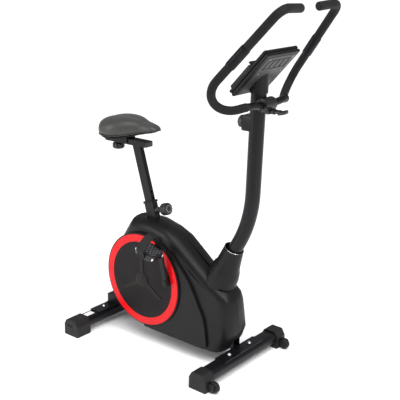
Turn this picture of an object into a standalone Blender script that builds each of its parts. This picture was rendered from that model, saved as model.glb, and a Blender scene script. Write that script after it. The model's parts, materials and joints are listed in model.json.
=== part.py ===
"""Upright magnetic exercise bike: an assembly of separate named pieces, in metres.

+X is the way the rider faces, +Y is the rider's left and +Z is up. The origin is on the
floor, at the middle of the whole machine's outline. "right" and "left" are the rider's.
"""

import math

import bmesh
import bpy
from mathutils import Matrix, Vector

# Clearances
GAP = 0.0003  # between pieces that touch
SLIDE_GAP = 0.0006  # round a piece that slides in another
FOAM_GAP = 0.0007  # round a faceted bar inside its sleeve
SPIN_GAP = 0.0004  # round a shaft that turns in its bore

# Stabilisers: the two floor bars
BAR_SPAN = 0.500  # over the end caps
BAR_DEPTH = 0.066  # tube, front to back
BAR_HEIGHT = 0.044
BAR_WALL = 0.002
BAR_CENTRE_Z = 0.042
FRONT_BAR_X = 0.219
REAR_BAR_X = -0.457
CAP_DEPTH = 0.078
CAP_TOP_Z = 0.070
CAP_WALL = 0.003
FRONT_CAP_LENGTH = 0.052
REAR_CAP_LENGTH = 0.072
BOLT_Y = 0.062
BOLT_RADIUS = 0.004
BOLT_HEAD_RADIUS = 0.009
WHEEL_RADIUS = 0.021
WHEEL_WIDTH = 0.020
WHEEL_BORE = 0.0042
WHEEL_Y = BAR_SPAN / 2 - 0.029
WHEEL_X = FRONT_BAR_X + CAP_DEPTH / 2 + 0.0185
WHEEL_Z = 0.0235

# Welded frame
SPINE_WIDTH = 0.040
SPINE_HEIGHT = 0.040
SPINE_WALL = 0.002
SPINE_SETBACK = 0.014  # its front end, behind the front bar's middle
SPINE_Z = BAR_CENTRE_Z + BAR_HEIGHT / 2 + SPINE_HEIGHT / 2 + 0.004
SADDLE_LENGTH = 0.236  # bracket plate that sits on a stabiliser, along Y
SADDLE_THICKNESS = 0.0037

# Seat post, its tube and the rail
SEAT_ANGLE = math.radians(15.9)  # back from upright
SEAT_AXIS_POINT = Vector((-0.217, 0, 0.512))
SEAT_TUBE_TOP_Z = 0.561
POST_DEPTH = 0.038
POST_WIDTH = 0.020
POST_WALL = 0.0018
BUSH_WALL = 0.0012
SEAT_TUBE_WALL = 0.0015
SEAT_PIN_Z = 0.530
POST_INSERT = 0.165  # length of the post inside the tube at rest
RAIL_WIDTH = 0.040
RAIL_HEIGHT = 0.022
RAIL_WALL = 0.002
RAIL_Z = 0.797
RAIL_FRONT_X = -0.240
RAIL_REAR_X = -0.452
SLOT_LENGTH = 0.072
SLOT_SHIFT = 0.005
SLOT_WIDTH = 0.0115

# Saddle
SADDLE_X = -0.3155
SADDLE_PAD_LENGTH = 0.266
SADDLE_PAD_WIDTH = 0.190
SADDLE_BOTTOM_Z = 0.818
SADDLE_TOP_Z = 0.897
SADDLE_NOSE_RISE = 0.040
SADDLE_BASE_THICKNESS = 0.0052
# From the rear: share of the length, of the half width, of the underside's rise, of the height.
SADDLE_SHAPE = (
    (0.00, 0.42, 0.40, 0.50),
    (0.02, 0.66, 0.18, 0.70),
    (0.08, 0.88, 0.03, 0.87),
    (0.20, 1.00, 0.00, 0.97),
    (0.35, 0.98, 0.04, 1.00),
    (0.50, 0.82, 0.20, 0.98),
    (0.62, 0.60, 0.40, 0.93),
    (0.72, 0.44, 0.58, 0.86),
    (0.82, 0.36, 0.74, 0.81),
    (0.92, 0.30, 0.87, 0.73),
    (0.98, 0.20, 0.95, 0.64),
    (1.00, 0.11, 1.00, 0.57),
)
SADDLE_KNOB_X = -0.402
SLIDER_LENGTH = 0.100

# Crank, pedals and drive
CRANK_X = -0.067
CRANK_Z = 0.293
CRANK_LENGTH = 0.145
CRANK_LEAN = math.radians(7.0)  # the right arm at rest, back from upright
AXLE_RADIUS = 0.0085
BB_RADIUS = 0.021
BB_LENGTH = 0.056
BEARING_RADIUS = 0.0175
BEARING_WIDTH = 0.010
ARM_BOSS_Y = 0.098  # middle of the arm at the axle
ARM_END_Y = 0.112  # middle of the arm at the pedal
ARM_THICKNESS = 0.014
PEDAL_LENGTH = 0.092  # along X
PEDAL_WIDTH = 0.084  # along Y
PEDAL_HEIGHT = 0.024
PEDAL_GAP = 0.006  # from the arm to the pedal
PEDAL_TILT = math.radians(18.0)
SPINDLE_RADIUS = 0.0055
STRAP_WIDTH = 0.040
STRAP_THICKNESS = 0.003
STRAP_RISE = 0.076
STRAP_BULGE = 0.010  # how far the loop leans out past the pedal's outer side
PULLEY_RADIUS = 0.105
PULLEY_Y = -0.037
PULLEY_WIDTH = 0.012
BELT_THICKNESS = 0.003
BELT_WIDTH = 0.010
FLYWHEEL_X = -0.207
FLYWHEEL_Z = 0.264
FLYWHEEL_RADIUS = 0.118
FLYWHEEL_RIM = 0.022
FLYWHEEL_WIDTH = 0.028
FLYWHEEL_Y = 0.038
SMALL_PULLEY_RADIUS = 0.0155
FLY_AXLE_RADIUS = 0.006
DROPOUT_THICKNESS = 0.004
DROPOUT_RIGHT_Y = -0.052
DROPOUT_LEFT_Y = 0.0585
BRAKE_GAP = 0.004
BRAKE_PIVOT_ANGLE = math.radians(196)
BRAKE_END_ANGLE = math.radians(112)

# Casing
CASE_HALF_WIDTH = 0.066
PANEL_HALF_WIDTH = 0.076  # the raised lower panel
DRUM_HALF_WIDTH = 0.0825  # the raised round drum behind the disc
CASE_WALL = 0.003
CASE_SHOULDER = ((0.70, 0.007), (0.87, 0.016), (0.97, 0.027), (1.0, 0.040))
DRUM_RADIUS = 0.194
RING_OUTER = 0.188
RING_INNER = 0.158
DISC_THICKNESS = 0.0025
CASE_BOTTOM_Z = 0.054
CRANK_HOLE_RADIUS = 0.0125

BOOT_RINGS = (  # from the foot up: x, z, long radius, wide radius, fall to the front in degrees
    (0.1165, 0.310, 0.0600, 0.0610, 32),
    (0.131, 0.333, 0.0625, 0.0600, 31),
    (0.146, 0.364, 0.0600, 0.0550, 30),
    (0.155, 0.385, 0.0555, 0.0505, 29),
    (0.1615, 0.400, 0.0480, 0.0455, 28),
    (0.174, 0.432, 0.0430, 0.0410, 25),
    (0.188, 0.4685, 0.0375, 0.0375, 22.3),
)

# Handlebar post
HEAD_ANGLE = math.radians(30.0)  # forward from upright, lower stretch
UPPER_ANGLE = math.radians(2.5)
HEAD_POINT = Vector((0.1925, 0, 0.468))  # on the lower stretch's axis
POST_BEND_Z = 0.592
POST_BEND_RADIUS = 0.44
POST_TOP_Z = 1.088
POST_TUBE_RADIUS = 0.0273
POST_TUBE_WALL = 0.002
HEAD_TUBE_TOP_Z = 0.490
POST_FOOT_Z = 0.365

# Handlebar
BAR_RADIUS = 0.0127
GRIP_RADIUS = BAR_RADIUS + 0.0021
CLAMP_X = 0.317
CLAMP_Z = 1.021
CLAMP_RADIUS = 0.024
CLAMP_WIDTH = 0.060
SCREW_Z = CLAMP_Z - 0.0205
SCREW_RADIUS = 0.0038
WING_LENGTH = 0.066
BAR_CORNERS = (  # left side, from the clamp to the tip
    (CLAMP_X, 0.050, CLAMP_Z),
    (0.322, 0.109, 1.029),
    (0.152, 0.281, 0.966),
    (0.484, 0.167, 1.355),
    (0.475, 0.054, 1.349),
)
BAR_BEND_RADII = (0.046, 0.078, 0.045)
GRIP_START = 0.15  # share of the side's length where the foam starts
BAR_END_COVER = 0.006  # foam beyond the end of the steel bar
SENSOR_START = 0.53
SENSOR_END = 0.645
SENSOR_WALL = 0.0025

# Console
CONSOLE_CENTRE = Vector((0.307, 0, 1.133))
CONSOLE_TILT = math.radians(46.2)  # its face, up from level
CONSOLE_WIDTH = 0.190
CONSOLE_HEIGHT = 0.204
CONSOLE_DEPTH = 0.026
POD_HEIGHT = 0.112  # the thicker lower half that holds the display
POD_DEPTH = 0.014
SCREEN_SIZE = (0.096, 0.046)
BUTTON_RADIUS = 0.008
BUTTON_PITCH = 0.040

# Tension knob
TENSION_Z = 0.950
TENSION_BOX = (0.048, 0.052, 0.056)
TENSION_KNOB_RADIUS = 0.023
TENSION_KNOB_LENGTH = 0.018

ROUND = 32  # sides of a round piece
PI = math.pi


def clear_scene():
    for obj in list(bpy.data.objects):
        bpy.data.objects.remove(obj, do_unlink=True)


def make_collection(name):
    collection = bpy.data.collections.new(name)
    bpy.context.scene.collection.children.link(collection)
    return collection


def make_material(name, colour, roughness, metallic=0.0):
    material = bpy.data.materials.new(name)
    material.use_nodes = True
    shader = material.node_tree.nodes["Principled BSDF"]
    shader.inputs["Base Color"].default_value = (*colour, 1.0)
    shader.inputs["Roughness"].default_value = roughness
    shader.inputs["Metallic"].default_value = metallic
    material.diffuse_color = (*colour, 1.0)
    return material


clear_scene()
PARTS = make_collection("exercise_bike")

PAINT = make_material("black_paint", (0.012, 0.012, 0.013), 0.35, 0.4)
PLASTIC = make_material("black_plastic", (0.016, 0.016, 0.017), 0.5)
GREY_PLASTIC = make_material("grey_plastic", (0.06, 0.06, 0.06), 0.45)
RED = make_material("red_plastic", (0.80, 0.02, 0.03), 0.35)
FOAM = make_material("black_foam", (0.02, 0.02, 0.02), 0.85)
RUBBER = make_material("rubber", (0.015, 0.015, 0.015), 0.7)
STEEL = make_material("steel", (0.55, 0.55, 0.56), 0.3, 1.0)
CAST = make_material("cast_iron", (0.12, 0.12, 0.12), 0.6, 0.8)
VINYL = make_material("vinyl", (0.045, 0.045, 0.042), 0.5)
GLASS = make_material("screen", (0.03, 0.04, 0.04), 0.1)


def link(obj, material=None, collection=None):
    (collection or PARTS).objects.link(obj)
    if material:
        obj.data.materials.clear()
        obj.data.materials.append(material)
    return obj


def refresh(obj, weld=False):
    """Replace an object's mesh by what its modifiers make of it, with faces pointing out."""
    bpy.context.view_layer.update()
    graph = bpy.context.evaluated_depsgraph_get()
    mesh = bpy.data.meshes.new_from_object(obj.evaluated_get(graph))
    shape = bmesh.new()
    shape.from_mesh(mesh)
    if weld:
        bmesh.ops.remove_doubles(shape, verts=shape.verts, dist=0.00001)
    bmesh.ops.recalc_face_normals(shape, faces=shape.faces)
    shape.to_mesh(mesh)
    shape.free()
    mesh.shade_smooth()
    mesh.set_sharp_from_angle(angle=math.radians(35))
    if obj.type == "MESH":
        obj.modifiers.clear()
        obj.data = mesh
        return obj
    made = bpy.data.objects.new(obj.name, mesh)
    made.matrix_world = obj.matrix_world.copy()
    name, homes = obj.name, list(obj.users_collection)
    bpy.data.objects.remove(obj, do_unlink=True)
    made.name = name
    for home in homes:
        home.objects.link(made)
    return made


def from_bmesh(name, shape, material, location=(0, 0, 0), rotation=None, collection=None):
    mesh = bpy.data.meshes.new(name)
    bmesh.ops.recalc_face_normals(shape, faces=shape.faces)
    shape.to_mesh(mesh)
    shape.free()
    obj = bpy.data.objects.new(name, mesh)
    link(obj, material, collection)
    obj.location = location
    if rotation is not None:
        obj.rotation_euler = rotation.to_euler()
    mesh.shade_smooth()
    mesh.set_sharp_from_angle(angle=math.radians(35))
    return obj


def bevel(obj, width, segments=2, angle=40):
    modifier = obj.modifiers.new("rounded_edges", "BEVEL")
    modifier.width = width
    modifier.segments = segments
    modifier.limit_method = "ANGLE"
    modifier.angle_limit = math.radians(angle)
    return refresh(obj)


def block(name, size, centre, material=None, rotation=None, rounding=0.0, segments=2):
    shape = bmesh.new()
    bmesh.ops.create_cube(shape, size=1.0)
    bmesh.ops.scale(shape, vec=Vector(size), verts=shape.verts)
    obj = from_bmesh(name, shape, material, centre, rotation)
    return bevel(obj, rounding, segments) if rounding else obj


def turn_to(direction, up=(0, 0, 1)):
    """Rotation that takes +Z to a direction."""
    return Vector(up).rotation_difference(Vector(direction).normalized()).to_matrix()


def rod(name, radius, start, end, material=None, sides=ROUND, end_radius=None):
    """A cylinder or cone from one point to another, with its origin at the first."""
    start, end = Vector(start), Vector(end)
    length = (end - start).length
    shape = bmesh.new()
    bmesh.ops.create_cone(
        shape, cap_ends=True, segments=sides, radius1=radius,
        radius2=radius if end_radius is None else end_radius, depth=length,
    )
    bmesh.ops.translate(shape, vec=(0, 0, length / 2), verts=shape.verts)
    return from_bmesh(name, shape, material, start, turn_to(end - start))


def turned(name, profile, origin, axis, material=None, sides=ROUND):
    """A lathe shape: profile holds (radius, height) points along the axis."""
    mesh = bpy.data.meshes.new(name)
    points = [(radius, 0, height) for radius, height in profile]
    count = len(points)
    on_axis = profile[0][0] == 0 and profile[-1][0] == 0
    edges = [(i, (i + 1) % count) for i in range(count - (1 if on_axis else 0))]
    mesh.from_pydata(points, edges, [])
    obj = link(bpy.data.objects.new(name, mesh), material)
    obj.location = origin
    obj.rotation_euler = turn_to(axis).to_euler()
    screw = obj.modifiers.new("turn", "SCREW")
    screw.steps = sides
    screw.render_steps = sides
    screw.use_merge_vertices = True
    screw.merge_threshold = 0.00005
    return refresh(obj, weld=True)


def tube(name, path, radius, material=None, sides=14):
    """A round bar along a list of points."""
    curve = bpy.data.curves.new(name, "CURVE")
    curve.dimensions = "3D"
    curve.bevel_depth = radius
    curve.bevel_resolution = (sides - 4) // 2
    curve.use_fill_caps = True
    spline = curve.splines.new("POLY")
    spline.points.add(len(path) - 1)
    for point, place in zip(spline.points, path):
        point.co = (*place, 1)
    obj = link(bpy.data.objects.new(name, curve), material)
    return refresh(obj, weld=True)


def plate(name, outline, low_y, high_y, material=None):
    """A flat outline in X and Z, filled and given a thickness along Y."""
    curve = bpy.data.curves.new(name, "CURVE")
    curve.dimensions = "2D"
    curve.fill_mode = "BOTH"
    curve.extrude = (high_y - low_y) / 2
    spline = curve.splines.new("POLY")
    spline.points.add(len(outline) - 1)
    for point, (x, z) in zip(spline.points, outline):
        point.co = (x, z, 0, 1)
    spline.use_cyclic_u = True
    obj = link(bpy.data.objects.new(name, curve), material)
    obj.rotation_euler = (PI / 2, 0, 0)
    obj.location = (0, (low_y + high_y) / 2, 0)
    return refresh(obj, weld=True)


def combine(obj, others, operation, solver="EXACT"):
    for other in others:
        modifier = obj.modifiers.new(operation.lower(), "BOOLEAN")
        modifier.operation = operation
        modifier.solver = solver
        modifier.object = other
        obj = refresh(obj)
        bpy.data.objects.remove(other, do_unlink=True)
    return obj


def join(obj, *others, solver="EXACT"):
    return combine(obj, others, "UNION", solver)


def cut(obj, *cutters, solver="EXACT"):
    return combine(obj, cutters, "DIFFERENCE", solver)


def mirrored(obj, name):
    """The same piece on the rider's other side."""
    bpy.context.view_layer.update()
    shape = bmesh.new()
    shape.from_mesh(obj.data)
    turn = obj.matrix_world.to_3x3().to_4x4()
    bmesh.ops.transform(shape, matrix=Matrix.Scale(-1, 4, (0, 1, 0)) @ turn, verts=shape.verts)
    bmesh.ops.reverse_faces(shape, faces=shape.faces)
    place = obj.matrix_world.translation
    made = from_bmesh(name, shape, obj.data.materials[0], (place.x, -place.y, place.z))
    return made


def move_origin(obj, point):
    """Put an object's origin on a joint's axis, leaving the shape where it is."""
    bpy.context.view_layer.update()
    obj.data.transform(Matrix.Translation(-Vector(point)) @ obj.matrix_world)
    obj.matrix_world = Matrix.Translation(Vector(point))
    return obj


def fillet(corners, radii, steps=6):
    """An open path through corners, with a round bend of the given radius at each inner one."""
    corners = [Vector(corner) for corner in corners]
    path = [corners[0]]
    for before, corner, after, radius in zip(corners, corners[1:], corners[2:], radii):
        path += bend(before, corner, after, radius, steps)
    return path + [corners[-1]]


def bend(before, corner, after, radius, steps):
    back = (before - corner).normalized()
    ahead = (after - corner).normalized()
    half = back.angle(ahead) / 2
    middle = (back + ahead).normalized()
    centre = corner + middle * radius / math.sin(half)
    first = (back / math.tan(half) - middle / math.sin(half)).normalized()
    last = (ahead / math.tan(half) - middle / math.sin(half)).normalized()
    return [centre + first.slerp(last, i / steps) * radius for i in range(steps + 1)]


def closed_fillet(corners, radii, steps=5):
    """A closed flat outline in X and Z with rounded corners."""
    count = len(corners)
    points = [Vector((x, 0, z)) for x, z in corners]
    outline = []
    for i, radius in enumerate(radii):
        outline += bend(points[i - 1], points[i], points[(i + 1) % count], radius, steps)
    return [(point.x, point.z) for point in outline]


def arc(centre, radius, start, end, steps):
    """Points on a circle, angles in degrees."""
    turn = [math.radians(start + (end - start) * i / steps) for i in range(steps + 1)]
    return [(centre[0] + radius * math.cos(a), centre[1] + radius * math.sin(a)) for a in turn]


def seat_axis(z):
    """The point of the seat post's axis at a height."""
    return SEAT_AXIS_POINT + SEAT_UP * (z - SEAT_AXIS_POINT.z) / SEAT_UP.z


def head_axis(z):
    """The point of the lower handlebar post's axis at a height."""
    return HEAD_POINT + HEAD_UP * (z - HEAD_POINT.z) / HEAD_UP.z


def upper_axis(z):
    """The point of the upper handlebar post's axis at a height."""
    return POST_BEND + UPPER_UP * (z - POST_BEND.z) / UPPER_UP.z


SEAT_UP = Vector((-math.sin(SEAT_ANGLE), 0, math.cos(SEAT_ANGLE)))
SEAT_FRONT = Vector((math.cos(SEAT_ANGLE), 0, math.sin(SEAT_ANGLE)))
SEAT_TURN = Matrix.Rotation(-SEAT_ANGLE, 3, "Y")
HEAD_UP = Vector((math.sin(HEAD_ANGLE), 0, math.cos(HEAD_ANGLE)))
UPPER_UP = Vector((math.sin(UPPER_ANGLE), 0, math.cos(UPPER_ANGLE)))
POST_BEND = head_axis(POST_BEND_Z)
CONSOLE_TURN = Matrix.Rotation(-CONSOLE_TILT, 3, "Y")
CRANK_AXIS = Vector((CRANK_X, 0, CRANK_Z))
FLYWHEEL_AXIS = Vector((FLYWHEEL_X, 0, FLYWHEEL_Z))
BAR_AXIS = Vector((CLAMP_X, 0, CLAMP_Z))


def rect_outline(depth, height, radius, steps=4):
    a, b = depth / 2, height / 2
    return closed_fillet([(-a, -b), (a, -b), (a, b), (-a, b)], [radius] * 4, steps)


# Floor bars
def stabilizer(name, x):
    reach = BAR_SPAN / 2 - 0.004
    outer = plate(name, rect_outline(BAR_DEPTH, BAR_HEIGHT, 0.017), -reach, reach, PAINT)
    depth, height = BAR_DEPTH - 2 * BAR_WALL, BAR_HEIGHT - 2 * BAR_WALL
    inner = plate("bore", rect_outline(depth, height, 0.015), -BAR_SPAN, BAR_SPAN)
    for obj in (outer, inner):
        obj.location = (x, 0, BAR_CENTRE_Z)
    bar = cut(outer, inner)
    for y in (-BOLT_Y, BOLT_Y):
        bar = cut(bar, rod("hole", BOLT_RADIUS + GAP, (x, y, 0), (x, y, 0.2), sides=16))
    return bar


def stabilizer_bolt(name, x, y):
    """A carriage bolt up through the bar and the frame's saddle plate, with a domed nut."""
    low = BAR_CENTRE_Z - BAR_HEIGHT / 2 - GAP
    high = BAR_CENTRE_Z + BAR_HEIGHT / 2 + 2 * GAP + SADDLE_THICKNESS + GAP
    r, head = BOLT_RADIUS, BOLT_HEAD_RADIUS
    profile = [
        (0, high + 0.009), (head * 0.5, high + 0.0075), (head * 0.72, high + 0.004), (head, high + 0.002),
        (head, high), (r, high), (r, low), (head, low), (head * 0.7, low - 0.003), (0, low - 0.004),
    ]
    return turned(name, profile, (x, y, 0), (0, 0, 1), STEEL, 16)


def end_cap(name, x, length, front):
    """A moulded cap over the right end of a floor bar, standing on the floor."""
    outer_y = -BAR_SPAN / 2
    inner_y = outer_y + length
    d = CAP_DEPTH / 2
    corners = [(-d, 0), (d, 0), (d, 0.046), (d - 0.014, CAP_TOP_Z), (-d + 0.014, CAP_TOP_Z), (-d, 0.046)]
    radii = [0.003, 0.003, 0.010, 0.010, 0.010, 0.010]
    cap = plate(name, closed_fillet(corners, radii, 3), outer_y, inner_y, PLASTIC)
    cap.location.x = x
    socket = plate(
        "socket", rect_outline(BAR_DEPTH + 2 * GAP, BAR_HEIGHT + 2 * GAP, 0.017), outer_y + 0.004 - GAP, 0,
    )
    socket.location = (x, socket.location.y, BAR_CENTRE_Z)
    cap = cut(cap, socket)
    if not front:
        recess = block("recess", (0.026, 0.006, 0.009), (x - 0.004, outer_y, 0.044))
        return cut(cap, recess)
    wheel_in = -WHEEL_Y - WHEEL_WIDTH / 2 - 0.001
    wheel_out = -WHEEL_Y + WHEEL_WIDTH / 2 + 0.001
    front = x + CAP_DEPTH / 2
    lug_x = (front - 0.002 + WHEEL_X + 0.008) / 2
    lug_size = (WHEEL_X + 0.010 - front, 0.004, 0.026)
    lug = block("lug", lug_size, (lug_x, wheel_in - 0.002, WHEEL_Z + 0.001))
    well = rod("well", WHEEL_RADIUS + 0.0012, (WHEEL_X, wheel_in, WHEEL_Z), (WHEEL_X, wheel_out, WHEEL_Z))
    pin_start, pin_end = (WHEEL_X, wheel_in - 0.003, WHEEL_Z), (WHEEL_X, wheel_out, WHEEL_Z)
    pin = rod("pin", WHEEL_BORE - SPIN_GAP, pin_start, pin_end, sides=16)
    return join(cut(cap, well), lug, pin)


def transport_wheel(name):
    h, r = WHEEL_WIDTH / 2, WHEEL_RADIUS
    profile = [
        (WHEEL_BORE, h), (r - 0.004, h), (r, h - 0.004), (r, -h + 0.004), (r - 0.004, -h), (WHEEL_BORE, -h),
    ]
    return turned(name, profile, (WHEEL_X, -WHEEL_Y, WHEEL_Z), (0, 1, 0), RUBBER, 24)


def build_base():
    for place, x in (("front", FRONT_BAR_X), ("rear", REAR_BAR_X)):
        stabilizer(place + "_stabilizer", x)
        stabilizer_bolt("stabilizer_bolt_" + place + "_right", x, -BOLT_Y)
        stabilizer_bolt("stabilizer_bolt_" + place + "_left", x, BOLT_Y)
    front_cap = end_cap("front_cap_right", FRONT_BAR_X, FRONT_CAP_LENGTH, True)
    mirrored(front_cap, "front_cap_left")
    rear_cap = end_cap("rear_cap_right", REAR_BAR_X, REAR_CAP_LENGTH, False)
    mirrored(rear_cap, "rear_cap_left")
    wheel = transport_wheel("wheel_right")
    mirrored(wheel, "wheel_left")


# Welded frame
def seat_bar(name, depth, width, low_z, high_z, material=None):
    """A rectangular bar along the seat post's axis."""
    low, high = seat_axis(low_z), seat_axis(high_z)
    middle, length = (low + high) / 2, (high - low).length
    return block(name, (depth, width, length), middle, material, SEAT_TURN)


def build_frame():
    spine_front, spine_rear = FRONT_BAR_X - SPINE_SETBACK, REAR_BAR_X - 0.020
    spine_length = spine_front - spine_rear
    spine_x = (spine_front + spine_rear) / 2
    saddle_z = BAR_CENTRE_Z + BAR_HEIGHT / 2 + GAP + SADDLE_THICKNESS / 2
    frame = block("main_frame", (spine_length, SPINE_WIDTH, SPINE_HEIGHT), (spine_x, 0, SPINE_Z), PAINT)
    bush_depth = POST_DEPTH + 2 * (BUSH_WALL + SLIDE_GAP + GAP)
    bush_width = POST_WIDTH + 2 * (BUSH_WALL + SLIDE_GAP + GAP)
    tube_depth, tube_width = bush_depth + 2 * SEAT_TUBE_WALL, bush_width + 2 * SEAT_TUBE_WALL
    seat_tube = seat_bar("seat_tube", tube_depth, tube_width, SPINE_Z, SEAT_TUBE_TOP_Z)
    head_foot = head_axis(SPINE_Z)
    head_radius = POST_TUBE_RADIUS - POST_TUBE_WALL - SLIDE_GAP
    head_tube = rod("head_tube", head_radius, head_foot, head_axis(HEAD_TUBE_TOP_Z))
    strut = block("strut", (0.030, 0.030, CRANK_Z - SPINE_Z), (CRANK_X, 0, (CRANK_Z + SPINE_Z) / 2))
    bb_shell = rod(
        "bb_shell", BB_RADIUS, (CRANK_X, -BB_LENGTH / 2, CRANK_Z), (CRANK_X, BB_LENGTH / 2, CRANK_Z),
    )
    right_edge = DROPOUT_RIGHT_Y - DROPOUT_THICKNESS / 2
    left_edge = DROPOUT_LEFT_Y + DROPOUT_THICKNESS / 2
    cross_z = SPINE_Z + SPINE_HEIGHT / 2 - 0.006
    cross = block(
        "cross", (0.038, left_edge - right_edge + 0.002, 0.016), (
            FLYWHEEL_X, (left_edge + right_edge) / 2, cross_z,
        )
    )
    joined = [seat_tube, head_tube, strut, bb_shell, cross]
    for y in (DROPOUT_RIGHT_Y, DROPOUT_LEFT_Y):
        height = FLYWHEEL_Z + 0.018 - cross_z
        joined.append(
            block("dropout", (0.034, DROPOUT_THICKNESS, height), (FLYWHEEL_X, y, cross_z + height / 2))
        )
    for x in (FRONT_BAR_X, REAR_BAR_X):
        joined.append(block("saddle", (0.050, SADDLE_LENGTH, SADDLE_THICKNESS), (x, 0, saddle_z)))
        rib_height = SPINE_Z - SPINE_HEIGHT / 2 - saddle_z + 0.002
        joined.append(block("rib", (0.050, SPINE_WIDTH, rib_height), (x, 0, saddle_z + rib_height / 2)))
    frame = join(frame, *joined)

    t = SPINE_WALL
    bores = [
        block(
            "bore", (spine_length + 0.1, SPINE_WIDTH - 2 * t, SPINE_HEIGHT - 2 * t), (spine_x, 0, SPINE_Z),
        ),
        seat_bar("bore", bush_depth, bush_width, SPINE_Z, SEAT_TUBE_TOP_Z + 0.05),
        rod("bore", head_radius - t, head_foot, head_axis(HEAD_TUBE_TOP_Z + 0.05)),
        block("bore", (0.026, 0.026, CRANK_Z - SPINE_Z), (CRANK_X, 0, (CRANK_Z + SPINE_Z) / 2)),
        rod("bore", BEARING_RADIUS + GAP, (CRANK_X, -0.1, CRANK_Z), (CRANK_X, 0.1, CRANK_Z)),
        rod(
            "bore", FLY_AXLE_RADIUS + GAP, (FLYWHEEL_X, -0.1, FLYWHEEL_Z), (FLYWHEEL_X, 0.1, FLYWHEEL_Z),
            sides=20,
        ),
    ]
    pin = seat_knob_place()
    bores.append(rod("pin_hole", 0.0048, pin - SEAT_FRONT * 0.014, pin + SEAT_FRONT * 0.03, sides=16))
    for x in (FRONT_BAR_X, REAR_BAR_X):
        for y in (-BOLT_Y, BOLT_Y):
            bores.append(rod("hole", BOLT_RADIUS + GAP, (x, y, 0), (x, y, 0.2), sides=16))
    return cut(frame, *bores, solver="MANIFOLD")


# Seat
def seat_knob_place():
    """Where the locking pin's axis meets the front face of the seat tube."""
    tube_depth = POST_DEPTH + 2 * (BUSH_WALL + SLIDE_GAP + GAP + SEAT_TUBE_WALL)
    return seat_axis(SEAT_PIN_Z) + SEAT_FRONT * tube_depth / 2


def build_seat_post():
    low = seat_axis(SEAT_TUBE_TOP_Z) - SEAT_UP * POST_INSERT
    post = seat_bar("seat_post", POST_DEPTH, POST_WIDTH, low.z, RAIL_Z, PAINT)
    rail_length = RAIL_FRONT_X - RAIL_REAR_X
    rail_x = (RAIL_FRONT_X + RAIL_REAR_X) / 2
    post = join(post, block("rail", (rail_length, RAIL_WIDTH, RAIL_HEIGHT), (rail_x, 0, RAIL_Z)))
    inner = (rail_length + 0.1, RAIL_WIDTH - 2 * RAIL_WALL, RAIL_HEIGHT - 2 * RAIL_WALL)
    slot = block("slot", (SLOT_LENGTH, SLOT_WIDTH, 0.08), (SADDLE_KNOB_X + SLOT_SHIFT, 0, RAIL_Z))
    bore = seat_bar("bore", POST_DEPTH - 2 * POST_WALL, POST_WIDTH - 2 * POST_WALL, low.z - 0.05, RAIL_Z)
    post = cut(post, block("bore", inner, (rail_x, 0, RAIL_Z)), bore, slot)
    for step in range(7):
        place = seat_knob_place() - SEAT_FRONT * (POST_DEPTH / 2) + SEAT_UP * 0.025 * (step - 3)
        post = cut(post, rod("hole", 0.0048, place, place + SEAT_FRONT * 0.05, sides=12))
    return post


def build_bush():
    """The plastic sleeve that lines the seat tube, with a collar that rests on its top."""
    depth = POST_DEPTH + 2 * (BUSH_WALL + SLIDE_GAP)
    width = POST_WIDTH + 2 * (BUSH_WALL + SLIDE_GAP)
    top = seat_axis(SEAT_TUBE_TOP_Z)
    length = 0.026
    bush = block(
        "seat_post_bush", (depth, width, length), top - SEAT_UP * (length / 2 - 0.004), PLASTIC, SEAT_TURN,
    )
    collar_size = (depth + 0.010, width + 0.010, 0.009)
    bush = join(
        bush,
        block("collar", collar_size, top + SEAT_UP * (0.0045 + GAP), rotation=SEAT_TURN, rounding=0.002),
    )
    hole = (POST_DEPTH + 2 * SLIDE_GAP, POST_WIDTH + 2 * SLIDE_GAP, 0.2)
    return cut(bush, block("hole", hole, top, rotation=SEAT_TURN))


def build_seat_knob():
    """The pull pin: a fluted knob, its threaded barrel and the pin, drawn to clear the post."""
    base = seat_knob_place()
    profile = [
        (0, 0.069), (0.015, 0.069), (0.0235, 0.066), (0.0245, 0.062), (0.0245, 0.042), (0.021, 0.038),
        (0.010, 0.038), (0.009, 0.016), (0.0125, 0.013), (0.0125, GAP), (0.0044, GAP), (0.0044, -0.0030),
        (0, -0.0030),
    ]
    knob = turned("seat_knob", profile, base, SEAT_FRONT, PLASTIC, 24)
    for i in range(8):
        angle = 2 * PI * i / 8
        radial = turn_to(SEAT_FRONT) @ Vector((math.cos(angle), math.sin(angle), 0))
        place = base + radial * 0.0271
        knob = cut(
            knob, rod("flute", 0.0051, place + SEAT_FRONT * 0.034, place + SEAT_FRONT * 0.074, sides=10),
        )
    return knob


def rail_cap(name, end_x, sign):
    size = (0.008, RAIL_WIDTH, RAIL_HEIGHT)
    cap = block(name, size, (end_x + sign * (0.004 + GAP), 0, RAIL_Z), PLASTIC, rounding=0.003)
    inset = 2 * (RAIL_WALL + GAP)
    plug = block(
        "plug", (0.016, RAIL_WIDTH - inset, RAIL_HEIGHT - inset), (end_x - sign * 0.006, 0, RAIL_Z),
    )
    return join(cap, plug)


def saddle_stations():
    """Down the saddle from its rear: (x, half width, underside, top)."""
    rear = SADDLE_X - SADDLE_PAD_LENGTH / 2
    low, rise, height = SADDLE_BOTTOM_Z, SADDLE_NOSE_RISE, SADDLE_TOP_Z - SADDLE_BOTTOM_Z
    rows = []
    for along, wide, up, high in SADDLE_SHAPE:
        bottom = low + rise * up
        rows.append((
            rear + SADDLE_PAD_LENGTH * along, SADDLE_PAD_WIDTH / 2 * wide, bottom, low + height * high,
        ))
    return rows


def loft_along_x(name, sections, material):
    """A closed skin over rings of (x, y, z) points."""
    shape = bmesh.new()
    loops = [[shape.verts.new(point) for point in ring] for ring in sections]
    count = len(loops[0])
    for low, high in zip(loops, loops[1:]):
        for i in range(count):
            shape.faces.new((low[i], low[(i + 1) % count], high[(i + 1) % count], high[i]))
    shape.faces.new(loops[0])
    shape.faces.new(loops[-1])
    bmesh.ops.triangulate(shape, faces=shape.faces)
    return from_bmesh(name, shape, material)


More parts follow.
